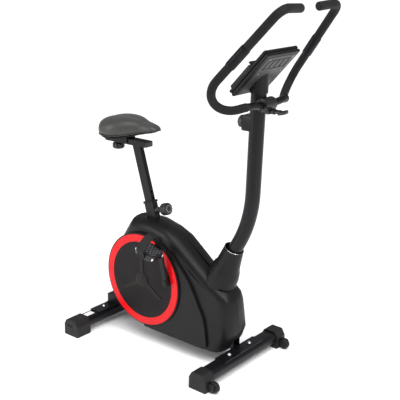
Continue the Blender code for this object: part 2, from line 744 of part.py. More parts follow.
def pad_ring(x, w, low, high):
    h = high - low
    side = [(0, low), (0.80 * w, low), (0.97 * w, low + 0.17 * h), (w, low + 0.42 * h)]
    side += [(0.91 * w, low + 0.70 * h), (0.63 * w, low + 0.92 * h), (0, high)]
    return [(x, y, z) for y, z in side] + [(x, -y, z) for y, z in reversed(side[1:-1])]


def build_saddle():
    """Pad, its plastic base, the slider that clamps on the rail, and the clamp knob."""
    rows = saddle_stations()
    loft_along_x("saddle_pad", [pad_ring(*row) for row in rows], VINYL)
    base = []
    for x, w, low, _ in rows[1:-2]:
        w, top, bottom = w - 0.014, low - GAP, low - SADDLE_BASE_THICKNESS
        base.append([(x, w, top), (x, w, bottom), (x, -w, bottom), (x, -w, top)])
    loft_along_x("saddle_base", base, PLASTIC)
    slider_top = SADDLE_BOTTOM_Z - SADDLE_BASE_THICKNESS - GAP
    slider_low = RAIL_Z + RAIL_HEIGHT / 2 + GAP
    width = RAIL_WIDTH + 2 * SLIDE_GAP + 0.008
    slider_x = SADDLE_KNOB_X + 0.020
    size = (SLIDER_LENGTH, width, slider_top - slider_low)
    slider = block("saddle_slider", size, (slider_x, 0, (slider_top + slider_low) / 2), PAINT)
    for side in (-1, 1):
        cheek = (slider_x, side * (width / 2 - 0.002), slider_top - 0.010)
        slider = join(slider, block("cheek", (SLIDER_LENGTH, 0.004, 0.020), cheek))
    hole = rod(
        "hole", 0.0046, (SADDLE_KNOB_X, 0, slider_low - 0.02), (SADDLE_KNOB_X, 0, slider_top + 0.01),
        sides=16,
    )
    cut(slider, hole)
    top = slider_top - GAP
    low = RAIL_Z - RAIL_HEIGHT / 2 - GAP
    profile = [
        (0, top), (0.0042, top), (0.0042, low), (0.012, low), (0.012, low - 0.004), (0.022, low - 0.006),
        (0.0245, low - 0.010), (0.0245, low - 0.023), (0.020, low - 0.028), (0, low - 0.029),
    ]
    knob = turned("saddle_knob", profile, (SADDLE_KNOB_X, 0, 0), (0, 0, 1), PLASTIC, 24)
    for i in range(8):
        angle = 2 * PI * i / 8
        x, y = SADDLE_KNOB_X + 0.0265 * math.cos(angle), 0.0265 * math.sin(angle)
        knob = cut(knob, rod("flute", 0.0045, (x, y, low - 0.004), (x, y, low - 0.05), sides=8))


# Drive
def build_crank():
    """Axle, arms, bearings and the big pulley."""
    reach = ARM_BOSS_Y + ARM_THICKNESS / 2
    inner = ARM_BOSS_Y - ARM_THICKNESS / 2
    r = AXLE_RADIUS
    rod("crank_axle", r, (CRANK_X, -inner + GAP, CRANK_Z), (CRANK_X, inner - GAP, CRANK_Z), STEEL, 24)
    for side, name in ((-1, "bearing_right"), (1, "bearing_left")):
        y = side * (BB_LENGTH / 2 - BEARING_WIDTH / 2)
        h = BEARING_WIDTH / 2
        bore = r + SPIN_GAP
        profile = [(bore, h), (BEARING_RADIUS, h), (BEARING_RADIUS, -h), (bore, -h)]
        turned(name, profile, (CRANK_X, y, CRANK_Z), (0, 1, 0), STEEL, 24)
    h = PULLEY_WIDTH / 2
    bore, flange, groove = r + GAP, PULLEY_RADIUS + 0.002, PULLEY_RADIUS
    profile = [
        (bore, h), (0.022, h), (0.022, 0.002), (PULLEY_RADIUS - 0.014, 0.002), (PULLEY_RADIUS - 0.010, h),
        (groove, h), (groove, -h), (PULLEY_RADIUS - 0.010, -h), (PULLEY_RADIUS - 0.014, -0.002),
        (0.022, -0.002), (0.022, -h), (bore, -h),
    ]
    turned("drive_pulley", profile, (CRANK_X, PULLEY_Y, CRANK_Z), (0, 1, 0), PLASTIC, 32)
    right = crank_arm("crank_right", 1)
    left = crank_arm("crank_left", -1)
    return right, left


def crank_direction():
    return Vector((-math.sin(CRANK_LEAN), 0, math.cos(CRANK_LEAN)))


def pedal_place(side):
    """The pedal axis's point on the arm's outer face. side is 1 for the right arm."""
    up = crank_direction() * side
    return CRANK_AXIS + up * CRANK_LENGTH + Vector((0, -side * ARM_END_Y, 0))


def crank_arm(name, side):
    """An arm that leans out from the axle to the pedal. The right one (side 1) points up."""
    out = Vector((0, -side, 0))
    up = crank_direction() * side
    boss = CRANK_AXIS + out * ARM_BOSS_Y
    end = CRANK_AXIS + up * CRANK_LENGTH + out * ARM_END_Y
    half = out * ARM_THICKNESS / 2
    arm = rod(name, 0.0155, boss - half, boss + half, PAINT, 24)
    along = (end - boss)
    across = along.cross(out)
    rows = (across.normalized(), along.cross(across).normalized(), along.normalized())
    turn = Matrix(rows).transposed()
    bar = block(
        "bar", (0.0235, ARM_THICKNESS * 0.86, along.length), (boss + end) / 2, rotation=turn,
        rounding=0.003, segments=1,
    )
    eye = rod("eye", 0.0125, end - half, end + half, sides=24)
    spindle_end = PEDAL_GAP + PEDAL_WIDTH - 0.006
    spindle = rod("spindle", SPINDLE_RADIUS, end, end + half + out * spindle_end, sides=20)
    cap = rod("cap", 0.0115, boss, boss + half * 1.35, sides=24)
    arm = join(arm, bar, eye, spindle, cap)
    return move_origin(arm, (CRANK_X, 0, CRANK_Z))


def build_pedal(name, strap_name, side):
    """A platform with a bore for its spindle, and a strap that arches over the foot."""
    inner = pedal_place(side) + Vector((0, -side * (ARM_THICKNESS / 2 + PEDAL_GAP), 0))
    centre = inner + Vector((0, -side * PEDAL_WIDTH / 2, 0))
    turn = Matrix.Rotation(PEDAL_TILT, 3, "Y")
    half = PEDAL_LENGTH / 2
    body = block(name, (PEDAL_LENGTH, PEDAL_WIDTH, PEDAL_HEIGHT), centre, PLASTIC, turn, 0.005)
    for along in (-0.27, 0.27):
        window = block(
            "window", (0.020, PEDAL_WIDTH * 0.62, 0.1),
            centre + turn @ Vector((along * PEDAL_LENGTH, 0, 0)), rotation=turn,
        )
        body = cut(body, window)
    bore = rod(
        "bore", SPINDLE_RADIUS + SPIN_GAP, inner + Vector((0, side * 0.05, 0)),
        inner - Vector((0, side * (PEDAL_WIDTH - 0.004), 0)), sides=20,
    )
    body = cut(body, bore)
    move_origin(body, pedal_place(side))
    # The strap is a flat band swept over an arch in the pedal's own Y and Z.
    w, rise, base = PEDAL_WIDTH / 2 + STRAP_THICKNESS + 2 * GAP, STRAP_RISE, -PEDAL_HEIGHT * 0.30
    arch_points = [(-w, base)] + [
        (w * math.cos(a) - side * STRAP_BULGE * max(0.0, -side * math.cos(a)),
         PEDAL_HEIGHT / 2 + 0.008 + (rise - 0.02) * math.sin(a))
        for a in [PI * (1 - i / 10) for i in range(11)]
    ] + [(w, base)]
    shape = bmesh.new()
    rows = []
    for i, (y, z) in enumerate(arch_points):
        before = Vector(arch_points[max(0, i - 1)])
        after = Vector(arch_points[min(len(arch_points) - 1, i + 1)])
        direction = (after - before).normalized()
        normal = Vector((direction.y, -direction.x)) * STRAP_THICKNESS / 2
        row = []
        for x in (-STRAP_WIDTH / 2, STRAP_WIDTH / 2):
            for sign in (-1, 1):
                row.append(shape.verts.new((x, y + sign * normal.x, z + sign * normal.y)))
        rows.append([row[0], row[1], row[3], row[2]])
    for a, b in zip(rows, rows[1:]):
        for k in range(4):
            shape.faces.new((a[k], a[(k + 1) % 4], b[(k + 1) % 4], b[k]))
    shape.faces.new(rows[0])
    shape.faces.new(list(reversed(rows[-1])))
    strap = from_bmesh(strap_name, shape, RUBBER, centre, turn)
    hole = rod("hole", SPINDLE_RADIUS + 0.004, pedal_place(side), centre, sides=16)
    strap = cut(strap, hole)
    move_origin(strap, pedal_place(side))
    return body, strap


def build_flywheel():
    y = FLYWHEEL_Y
    h, rim, hub = FLYWHEEL_WIDTH / 2, FLYWHEEL_RADIUS - FLYWHEEL_RIM, 0.022
    bore = FLY_AXLE_RADIUS + SPIN_GAP
    small_low = PULLEY_Y - PULLEY_WIDTH / 2 - y
    small_high = PULLEY_Y + PULLEY_WIDTH / 2 - y
    profile = [
        (bore, h), (hub, h), (hub, 0.005), (rim, 0.005), (rim, h), (FLYWHEEL_RADIUS, h),
        (FLYWHEEL_RADIUS, -h), (rim, -h), (rim, -0.005), (hub, -0.005), (0.012, -h), (0.012, small_high),
        (SMALL_PULLEY_RADIUS, small_high), (SMALL_PULLEY_RADIUS, small_low), (bore, small_low),
    ]
    turned("flywheel", profile, (FLYWHEEL_X, y, FLYWHEEL_Z), (0, 1, 0), CAST, 24)
    low, high = DROPOUT_RIGHT_Y - 0.007, DROPOUT_LEFT_Y + 0.007
    rod(
        "flywheel_axle", FLY_AXLE_RADIUS, (FLYWHEEL_X, low, FLYWHEEL_Z), (FLYWHEEL_X, high, FLYWHEEL_Z),
        STEEL, 20,
    )


def belt_outline(extra):
    """The belt's loop round both pulleys, grown by extra."""
    big, small = PULLEY_RADIUS + extra, SMALL_PULLEY_RADIUS + extra
    line = FLYWHEEL_AXIS - CRANK_AXIS
    distance = line.length
    toward = math.degrees(math.atan2(line.z, line.x))
    lean = math.degrees(math.acos((big - small) / distance))
    outer = arc((CRANK_X, CRANK_Z), big, toward + lean, toward + 360 - lean, 36)
    inner = arc((FLYWHEEL_X, FLYWHEEL_Z), small, toward - lean, toward + lean, 10)
    return outer + inner


def build_belt():
    low, high = PULLEY_Y - BELT_WIDTH / 2, PULLEY_Y + BELT_WIDTH / 2
    belt = plate("drive_belt", belt_outline(GAP + BELT_THICKNESS), low, high, RUBBER)
    return cut(belt, plate("inside", belt_outline(GAP), low - 0.01, high + 0.01))


def build_brake():
    """The magnet yoke: an arc over the flywheel's rim that swings about a pin at its rear end."""
    inner, outer = FLYWHEEL_RADIUS + BRAKE_GAP, FLYWHEEL_RADIUS + BRAKE_GAP + 0.012
    start, end = math.degrees(BRAKE_END_ANGLE), math.degrees(BRAKE_PIVOT_ANGLE)
    centre = (FLYWHEEL_X, FLYWHEEL_Z)
    outline = arc(centre, outer, start, end, 14) + arc(centre, inner, end, start, 14)
    low, high = FLYWHEEL_Y - 0.013, FLYWHEEL_Y + 0.013
    yoke = plate("brake_yoke", outline, low, high, PAINT)
    pivot = brake_pivot()
    ear = rod("ear", 0.010, (pivot.x, low, pivot.z), (pivot.x, high + 0.0065, pivot.z), sides=20)
    yoke = join(yoke, ear)
    return move_origin(yoke, pivot)


def brake_pivot():
    reach = FLYWHEEL_RADIUS + BRAKE_GAP + 0.008
    return FLYWHEEL_AXIS + Vector((math.cos(BRAKE_PIVOT_ANGLE), 0, math.sin(BRAKE_PIVOT_ANGLE))) * reach


# Casing
def case_outline():
    """Side view of the casing's middle: the drum's arc at the rear, a falling spine and a blunt nose."""
    rear = arc((FLYWHEEL_X, FLYWHEEL_Z), DRUM_RADIUS, 268, 140, 16)
    return rear + [
        (-0.345, 0.420), (-0.305, 0.480), (-0.286, 0.505), (-0.186, 0.506), (-0.106, 0.487), (-0.050, 0.463),
        (0.009, 0.417), (0.064, 0.373), (0.126, 0.334), (0.174, 0.306), (0.194, 0.289), (0.206, 0.258),
        (0.213, 0.210), (0.2205, 0.148), (0.203, 0.100), (0.173, CASE_BOTTOM_Z),
        (0.142, CASE_BOTTOM_Z - 0.048),
        (-0.170, CASE_BOTTOM_Z - 0.048),
    ]


def inset(outline, amount):
    """A closed convex-ish outline drawn in by an amount, corner by corner."""
    drawn = []
    for i, (x, z) in enumerate(outline):
        before, after = Vector(outline[i - 1]), Vector(outline[(i + 1) % len(outline)])
        here = Vector((x, z))
        first, second = (here - before).normalized(), (after - here).normalized()
        inward = Vector((first.y + second.y, -first.x - second.x)).normalized()
        reach = amount / max(0.3, inward.dot(Vector((first.y, -first.x))))
        point = here + inward * reach
        drawn.append((point.x, point.y))
    return drawn


def case_body(name, wall, material=None):
    """The casing's right half as a solid, with rounded shoulders, drawn in by a wall."""
    outline = case_outline()
    rings = [(0.05, wall)] if wall else []
    rings += [(-GAP / 2, wall), (-0.026, 0.002 + wall)]
    rings += [(-CASE_HALF_WIDTH * y + wall, drop + wall) for y, drop in CASE_SHOULDER]
    shape = bmesh.new()
    loops = [[shape.verts.new((x, y, z)) for x, z in inset(outline, drop)] for y, drop in rings]
    count = len(outline)
    for low, high in zip(loops, loops[1:]):
        for i in range(count):
            shape.faces.new((low[i], low[(i + 1) % count], high[(i + 1) % count], high[i]))
    shape.faces.new(loops[0])
    shape.faces.new(loops[-1])
    bmesh.ops.triangulate(shape, faces=shape.faces)
    return from_bmesh(name, shape, material)


def below(z):
    """Everything under a height."""
    return block("below", (2.0, 2.0, 0.4), (0, 0, z - 0.2))


def panel_outline(shrink=0.0):
    """Side view of the raised lower panel in front of the drum."""
    corners = [
        (-0.207, CASE_BOTTOM_Z + 0.004 + shrink), (0.119 - shrink, CASE_BOTTOM_Z + 0.004 + shrink),
        (0.104 - shrink, 0.175), (0.030 - shrink, 0.316 - shrink * 0.5), (-0.060 - shrink, 0.408 - shrink),
        (-0.141, 0.428 - shrink), (-0.291, 0.264),
    ]
    return closed_fillet(corners, [0.004, 0.02, 0.15, 0.3, 0.05, 0.10, 0.02], 4)


def drum(name, radius, low_y, high_y, sides=64):
    return rod(name, radius, (FLYWHEEL_X, low_y, FLYWHEEL_Z), (FLYWHEEL_X, high_y, FLYWHEEL_Z), sides=sides)


def build_casing():
    """The right half shell: an outline with a raised panel and drum, hollowed, with its openings."""
    shell = case_body("casing_right", 0.0, PLASTIC)
    panel = plate("panel", panel_outline(), -PANEL_HALF_WIDTH, -0.03)
    raised = drum("drum", DRUM_RADIUS - 0.001, -DRUM_HALF_WIDTH, -0.03)
    shell = join(shell, panel, raised, solver="MANIFOLD")
    shell = cut(shell, below(CASE_BOTTOM_Z), solver="MANIFOLD")
    hollow = cut(case_body("hollow", CASE_WALL), below(CASE_BOTTOM_Z + CASE_WALL), solver="MANIFOLD")
    panel_hollow = plate("hollow", panel_outline(CASE_WALL + 0.002), -PANEL_HALF_WIDTH + CASE_WALL, 0.05)
    drum_hollow = drum("hollow", DRUM_RADIUS - CASE_WALL - 0.001, -DRUM_HALF_WIDTH + CASE_WALL, 0.05)
    shell = cut(shell, hollow, panel_hollow, drum_hollow, solver="MANIFOLD")
    disc_seat = drum("seat", RING_OUTER + GAP, -DRUM_HALF_WIDTH - 0.01, -DRUM_HALF_WIDTH + 0.001)
    crank_hole = rod("hole", CRANK_HOLE_RADIUS, (CRANK_X, -0.2, CRANK_Z), (CRANK_X, 0.1, CRANK_Z), sides=24)
    spine_hole = block(
        "hole", (1.2, SPINE_WIDTH + 0.004, SPINE_HEIGHT + 0.006), (0, 0, SPINE_Z - 0.0013)
    )
    tube_depth = POST_DEPTH + 2 * (BUSH_WALL + SLIDE_GAP + GAP + SEAT_TUBE_WALL)
    tube_width = POST_WIDTH + 2 * (BUSH_WALL + SLIDE_GAP + GAP + SEAT_TUBE_WALL)
    seat_hole = seat_bar("hole", tube_depth + 0.004, tube_width + 0.004, 0.40, 0.60)
    post_hole = rod("hole", POST_TUBE_RADIUS + 0.005, head_axis(0.25), head_axis(0.55))
    rear_saddle = block("hole", (0.12, 0.3, 0.03), (REAR_BAR_X + 0.02, 0, 0.06))
    shell = cut(
        shell, disc_seat, crank_hole, spine_hole, seat_hole, post_hole, rear_saddle, solver="MANIFOLD",
    )
    mirrored(shell, "casing_left")


def build_discs():
    """The round cover on each side: a black disc with three plain raised blades, and its red ring."""
    face = -DRUM_HALF_WIDTH + 0.001 - GAP
    outer = face - DISC_THICKNESS
    disc = drum("disc_cover_right", RING_INNER - GAP, outer, face, 56)
    disc.data.materials.append(PLASTIC)
    for angle in (90, 210, 330):
        a = math.radians(angle)
        out = Vector((math.cos(a), 0, math.sin(a)))
        side = Vector((-math.sin(a), 0, math.cos(a)))
        root = Vector((FLYWHEEL_X, 0, FLYWHEEL_Z)) + out * 0.010
        tip = root + out * 0.108
        corners = [root - side * 0.0125, tip - side * 0.005, tip + side * 0.005, root + side * 0.0125]
        arm = plate("arm", [(p.x, p.z) for p in corners], outer - 0.002, face - 0.001)
        disc = join(disc, arm)
    hub = rod(
        "hub", 0.024, (FLYWHEEL_X, face - 0.001, FLYWHEEL_Z), (FLYWHEEL_X, outer - 0.003, FLYWHEEL_Z),
        sides=32,
    )
    disc = join(disc, hub)
    crank_hole = rod("hole", CRANK_HOLE_RADIUS, (CRANK_X, -0.2, CRANK_Z), (CRANK_X, 0.1, CRANK_Z), sides=24)
    disc = cut(disc, crank_hole)
    disc = move_origin(disc, (FLYWHEEL_X, face, FLYWHEEL_Z))
    ring = drum("disc_ring_right", RING_OUTER - GAP, outer - 0.0005, face, 56)
    ring.data.materials.append(RED)
    ring = cut(ring, drum("hole", RING_INNER + GAP, -0.2, 0.0, 56))
    mirrored(disc, "disc_cover_left")
    mirrored(ring, "disc_ring_left")


def build_boot():
    """A skewed bell that covers the foot of the handlebar post, cut to sit on the casing."""
    rings = [
        (Vector((x, 0, z)), long_radius, wide_radius, math.radians(tilt))
        for x, z, long_radius, wide_radius, tilt in BOOT_RINGS
    ]
    shape = bmesh.new()
    count = 30
    loops = []
    for centre, long_radius, wide_radius, tilt in rings:
        forward = Vector((math.cos(tilt), 0, -math.sin(tilt)))
        loop = []
        for i in range(count):
            a = 2 * PI * i / count
            place = centre + forward * long_radius * math.cos(a) + Vector((0, wide_radius * math.sin(a), 0))
            loop.append(shape.verts.new(place))
        loops.append(loop)
    for low, high in zip(loops, loops[1:]):
        for i in range(count):
            shape.faces.new((low[i], low[(i + 1) % count], high[(i + 1) % count], high[i]))
    boot = from_bmesh("post_boot", shape, PLASTIC)
    solid = boot.modifiers.new("wall", "SOLIDIFY")
    solid.thickness = CASE_WALL
    solid.offset = -1
    boot = refresh(boot)
    casing = cut(case_body("casing", -2 * GAP, PLASTIC), below(CASE_BOTTOM_Z), solver="MANIFOLD")
    return cut(boot, mirrored(casing, "casing_left_half"), casing, solver="MANIFOLD")


# Handlebar post, handlebar
def post_path(foot_z, top_z):
    return fillet([head_axis(foot_z), POST_BEND, upper_axis(top_z)], [POST_BEND_RADIUS], 9)


def build_post():
    """The curved post with its welded half clamp at the top."""
    post = tube("handlebar_post", post_path(POST_FOOT_Z, POST_TOP_Z), POST_TUBE_RADIUS, PAINT, 20)
    yoke = rod(
        "yoke", CLAMP_RADIUS, (CLAMP_X, -CLAMP_WIDTH / 2, CLAMP_Z), (CLAMP_X, CLAMP_WIDTH / 2, CLAMP_Z),
    )
    neck_x = upper_axis(CLAMP_Z).x
    neck = block("neck", (CLAMP_X - neck_x, 0.036, 0.044), ((CLAMP_X + neck_x) / 2, 0, CLAMP_Z - 0.004))
    tail = block("tail", (0.012, 0.036, 0.020), (CLAMP_X - 0.006 - GAP, 0, SCREW_Z))
    post = join(post, yoke, neck, tail)
    split = block("split", (0.2, 0.2, 0.2), (CLAMP_X + 0.1 - GAP, 0, CLAMP_Z))
    bar_hole = rod("hole", BAR_RADIUS + GAP, (CLAMP_X, -0.2, CLAMP_Z), (CLAMP_X, 0.2, CLAMP_Z))
    bore = tube(
        "bore", post_path(POST_FOOT_Z - 0.02, POST_TOP_Z + 0.02), POST_TUBE_RADIUS - POST_TUBE_WALL,
        sides=20,
    )
    screw_hole = rod("hole", 0.0045, (CLAMP_X - 0.016, 0, SCREW_Z), (CLAMP_X + 0.05, 0, SCREW_Z), sides=16)
    return cut(post, split, bore, bar_hole, screw_hole)


def build_clamp():
    """The front half of the clamp and the wing screw that tightens it."""
    cap = rod(
        "clamp_cap", CLAMP_RADIUS, (CLAMP_X, -CLAMP_WIDTH / 2, CLAMP_Z),
        (CLAMP_X, CLAMP_WIDTH / 2, CLAMP_Z), PLASTIC,
    )
    tail = block("tail", (0.020, 0.030, 0.020), (CLAMP_X + 0.010, 0, SCREW_Z))
    cap = join(cap, tail)
    split = block("split", (0.2, 0.2, 0.2), (CLAMP_X - 0.1 + GAP, 0, CLAMP_Z))
    bar_hole = rod("hole", BAR_RADIUS + GAP, (CLAMP_X, -0.2, CLAMP_Z), (CLAMP_X, 0.2, CLAMP_Z))
    screw_hole = rod("hole", 0.0045, (CLAMP_X - 0.05, 0, SCREW_Z), (CLAMP_X + 0.05, 0, SCREW_Z), sides=16)
    cut(cap, split, bar_hole, screw_hole)
    face = CLAMP_X + 0.0222
    knob = rod(
        "clamp_knob", SCREW_RADIUS, (CLAMP_X - 0.012, 0, SCREW_Z), (face + 0.004, 0, SCREW_Z), PLASTIC, 16,
    )
    collar = rod("collar", 0.0105, (face, 0, SCREW_Z), (face + 0.014, 0, SCREW_Z), sides=20)
    neck = rod("neck", 0.0075, (face, 0, SCREW_Z), (face + 0.040, 0, SCREW_Z), sides=16)
    blade = flat_blade((face + 0.047, 0, SCREW_Z))
    return move_origin(join(knob, collar, neck, blade), (CLAMP_X, 0, SCREW_Z))


def flat_blade(centre):
    """A leaf-shaped blade across the machine, to grip between finger and thumb."""
    half = WING_LENGTH / 2
    outline = [(-half, -0.003), (-half * 0.55, -0.0095), (0, -0.011), (half * 0.55, -0.0085), (half, 0.002)]
    outline += [(half * 0.8, 0.0075), (half * 0.3, 0.0095), (-half * 0.3, 0.0085), (-half * 0.85, 0.004)]
    blade = plate("blade", outline, -0.0045, 0.0045)
    blade.rotation_euler = (0, 0, PI / 2)
    blade.location = centre
    return bevel(blade, 0.002, 1)


def bar_path():
    """The left side of the handlebar, from the middle of the clamp to the tip."""
    middle = (CLAMP_X, 0, CLAMP_Z)
    first, *rest = BAR_CORNERS
    path = fillet((first, *rest), BAR_BEND_RADII, 5)
    return [Vector(middle)] + path


def part_of(path, start, end):
    """The stretch of a path between two shares of its length."""
    lengths = [0.0]
    for a, b in zip(path, path[1:]):
        lengths.append(lengths[-1] + (b - a).length)
    total = lengths[-1]

    def at(share):
        goal = share * total
        for i in range(1, len(path)):
            if lengths[i] >= goal - 1e-9:
                span = lengths[i] - lengths[i - 1]
                return path[i - 1].lerp(path[i], (goal - lengths[i - 1]) / span)
        return path[-1]

    inside = [p for p, l in zip(path, lengths) if start * total + 0.004 < l < end * total - 0.004]
    return [at(start)] + inside + [at(end)]


def other_side(path):
    return [Vector((p.x, -p.y, p.z)) for p in path]


def longer(path, start, end):
    """The path with its first and last points moved outwards."""
    first = path[0] - (path[1] - path[0]).normalized() * start
    last = path[-1] + (path[-1] - path[-2]).normalized() * end
    return [first] + path[1:-1] + [last]


def build_handlebar():
    """The bent steel bar, a closed foam sleeve on each arm and a pulse sensor over each sleeve."""
    left = bar_path()
    steel = longer(left, 0, -BAR_END_COVER)
    handlebar = tube("handlebar", other_side(steel)[::-1] + steel[1:], BAR_RADIUS, PAINT)
    move_origin(handlebar, BAR_AXIS)
    grip_path = part_of(left, GRIP_START, 1.0)
    for name, path in (("grip_left", grip_path), ("grip_right", other_side(grip_path))):
        grip = tube(name, path, GRIP_RADIUS, FOAM)
        g = GRIP_RADIUS
        dome = [(0, 0.006), (g * 0.6, 0.005), (g * 0.9, 0.002), (g, -0.001), (g, -0.004), (0, -0.004)]
        grip = join(grip, turned("dome", dome, path[-1], path[-1] - path[-2], sides=16))
        core = tube("core", longer(path, 0.002, GAP - BAR_END_COVER), BAR_RADIUS + FOAM_GAP)
        move_origin(cut(grip, core), BAR_AXIS)
    sensor_path = part_of(left, SENSOR_START, SENSOR_END)
    for name, path in (("pulse_sensor_left", sensor_path), ("pulse_sensor_right", other_side(sensor_path))):
        sensor = tube(name, path, GRIP_RADIUS + SENSOR_WALL, STEEL)
        core = tube("core", longer(path, 0.01, 0.01), GRIP_RADIUS + FOAM_GAP)
        move_origin(cut(sensor, core), BAR_AXIS)


# Console, tension knob
def on_console(across, up, out):
    """A point of the console: across along Y, up along its face, out towards the rider."""
    return CONSOLE_CENTRE + CONSOLE_TURN @ Vector((up, across, out))


def console_block(name, size, centre, material=None, rounding=0.0, segments=2):
    """size and centre are (up the face, across, out)."""
    up, across, out = centre
    return block(name, size, on_console(across, up, out), material, CONSOLE_TURN, rounding, segments)


def build_console():
    """Back and front housings, the display window and three buttons."""
    half = CONSOLE_DEPTH / 2
    back = console_block(
        "console_back", (CONSOLE_HEIGHT, CONSOLE_WIDTH, half), (0, 0, -half / 2), GREY_PLASTIC, 0.005,
    )
    inner = (CONSOLE_HEIGHT - 0.010, CONSOLE_WIDTH - 0.010, half)
    back = cut(back, console_block("hollow", inner, (0, 0, 0.003)))
    socket_outer = rod(
        "socket", POST_TUBE_RADIUS + 0.0045, upper_axis(POST_TOP_Z - 0.030), upper_axis(POST_TOP_Z + 0.060),
    )
    above = console_block("above", (0.6, 0.6, 0.3), (0, 0, 0.15 - half + 0.0015))
    socket_outer = cut(socket_outer, above)
    back = join(back, socket_outer)
    back = cut(
        back,
        rod("hole", POST_TUBE_RADIUS + GAP, upper_axis(POST_TOP_Z - 0.060), upper_axis(POST_TOP_Z + GAP)),
    )
    front = console_block(
        "console_front", (CONSOLE_HEIGHT, CONSOLE_WIDTH, half), (0, 0, half / 2 + GAP), PLASTIC, 0.005,
    )
    pod_up = -CONSOLE_HEIGHT / 2 + POD_HEIGHT / 2 + 0.006
    pod = console_block(
        "pod", (POD_HEIGHT, CONSOLE_WIDTH - 0.024, POD_DEPTH + half),
        (pod_up, 0, half + POD_DEPTH / 2 - half / 2), rounding=0.006,
    )
    ledge = console_block(
        "ledge", (0.006, CONSOLE_WIDTH * 0.7, 0.014),
        (pod_up + POD_HEIGHT / 2 - 0.003, 0, half + POD_DEPTH + 0.004), rounding=0.002,
    )
    front = join(front, pod, ledge)
    face = half + POD_DEPTH + GAP
    front = cut(front, console_block("hollow", inner, (0, 0, half / 2 + GAP - 0.003)))
    front = cut(
        front,
        console_block(
            "hollow", (POD_HEIGHT - 0.010, CONSOLE_WIDTH - 0.034, POD_DEPTH + half),
            (pod_up, 0, half / 2 + POD_DEPTH / 2 - 0.003),
        ),
    )
    screen_up = pod_up + 0.018
    front = cut(
        front, console_block("window", (SCREEN_SIZE[1], SCREEN_SIZE[0], 0.03), (screen_up, 0, face)),
    )
    button_up = pod_up - 0.032
    for name, across in (
        ("button_left", BUTTON_PITCH), ("button_middle", 0.0), ("button_right", -BUTTON_PITCH),
    ):
        low, high = on_console(across, button_up, face - 0.008), on_console(
            across, button_up, face + 0.0022,
        )
        front = cut(
            front,
            rod(
                "hole", BUTTON_RADIUS + SPIN_GAP, low, on_console(across, button_up, face + 0.02), sides=24,
            ),
        )
        rod(name, BUTTON_RADIUS, low, high, GREY_PLASTIC, 24)
    screen_size = (SCREEN_SIZE[1] - 2 * GAP, SCREEN_SIZE[0] - 2 * GAP, 0.002)
    console_block("console_screen", screen_size, (screen_up, 0, face - 0.0016), GLASS)


def build_tension():
    """The housing on the back of the post and the knob that turns in it."""
    _, width, height = TENSION_BOX
    axis_x = upper_axis(TENSION_Z).x
    box_front = axis_x
    box_rear = axis_x - POST_TUBE_RADIUS - 0.024
    housing = block(
        "tension_housing", (box_front - box_rear, width, height),
        ((box_front + box_rear) / 2, 0, TENSION_Z), PLASTIC, rounding=0.006,
    )
    post = tube("post", post_path(POST_FOOT_Z, POST_TOP_Z), POST_TUBE_RADIUS + GAP, sides=20)
    shaft_hole = rod(
        "hole", 0.0052, (box_rear - 0.02, 0, TENSION_Z), (box_rear + 0.018, 0, TENSION_Z), sides=16,
    )
    cut(housing, post, shaft_hole)
    face = box_rear - 0.0012
    r, n = TENSION_KNOB_RADIUS, TENSION_KNOB_LENGTH
    profile = [
        (0, n), (r - 0.004, n), (r - 0.001, n - 0.003), (r, 0.001), (r, 0), (0.0048, 0), (0.0048, -0.014),
        (0, -0.014),
    ]
    knob = turned("tension_knob", profile, (face, 0, TENSION_Z), (-1, 0, 0), PLASTIC, 32)
    for i in range(10):
        a = 2 * PI * i / 10
        y, z = (r + 0.0015) * math.cos(a), TENSION_Z + (r + 0.0015) * math.sin(a)
        knob = cut(knob, rod("flute", 0.0035, (face - 0.003, y, z), (face - 0.03, y, z), sides=8))
    return knob


def main():
    build_base()
    build_frame()
    build_seat_post()
    build_bush()
    build_seat_knob()
    rail_cap("rail_cap_front", RAIL_FRONT_X, 1)
    rail_cap("rail_cap_rear", RAIL_REAR_X, -1)
    build_saddle()
    build_crank()
    build_pedal("pedal_right", "strap_right", 1)
    build_pedal("pedal_left", "strap_left", -1)
    build_flywheel()
    build_belt()
    build_brake()
    build_casing()
    build_discs()
    build_boot()
    build_post()
    build_clamp()
    build_handlebar()
    build_console()
    build_tension()


main()
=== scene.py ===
# Looks for the upright exercise bike: finishes, soft pieces, small trim, light and camera.
import json
import math

import bmesh
import bpy
import numpy as np
from mathutils import Matrix, Vector


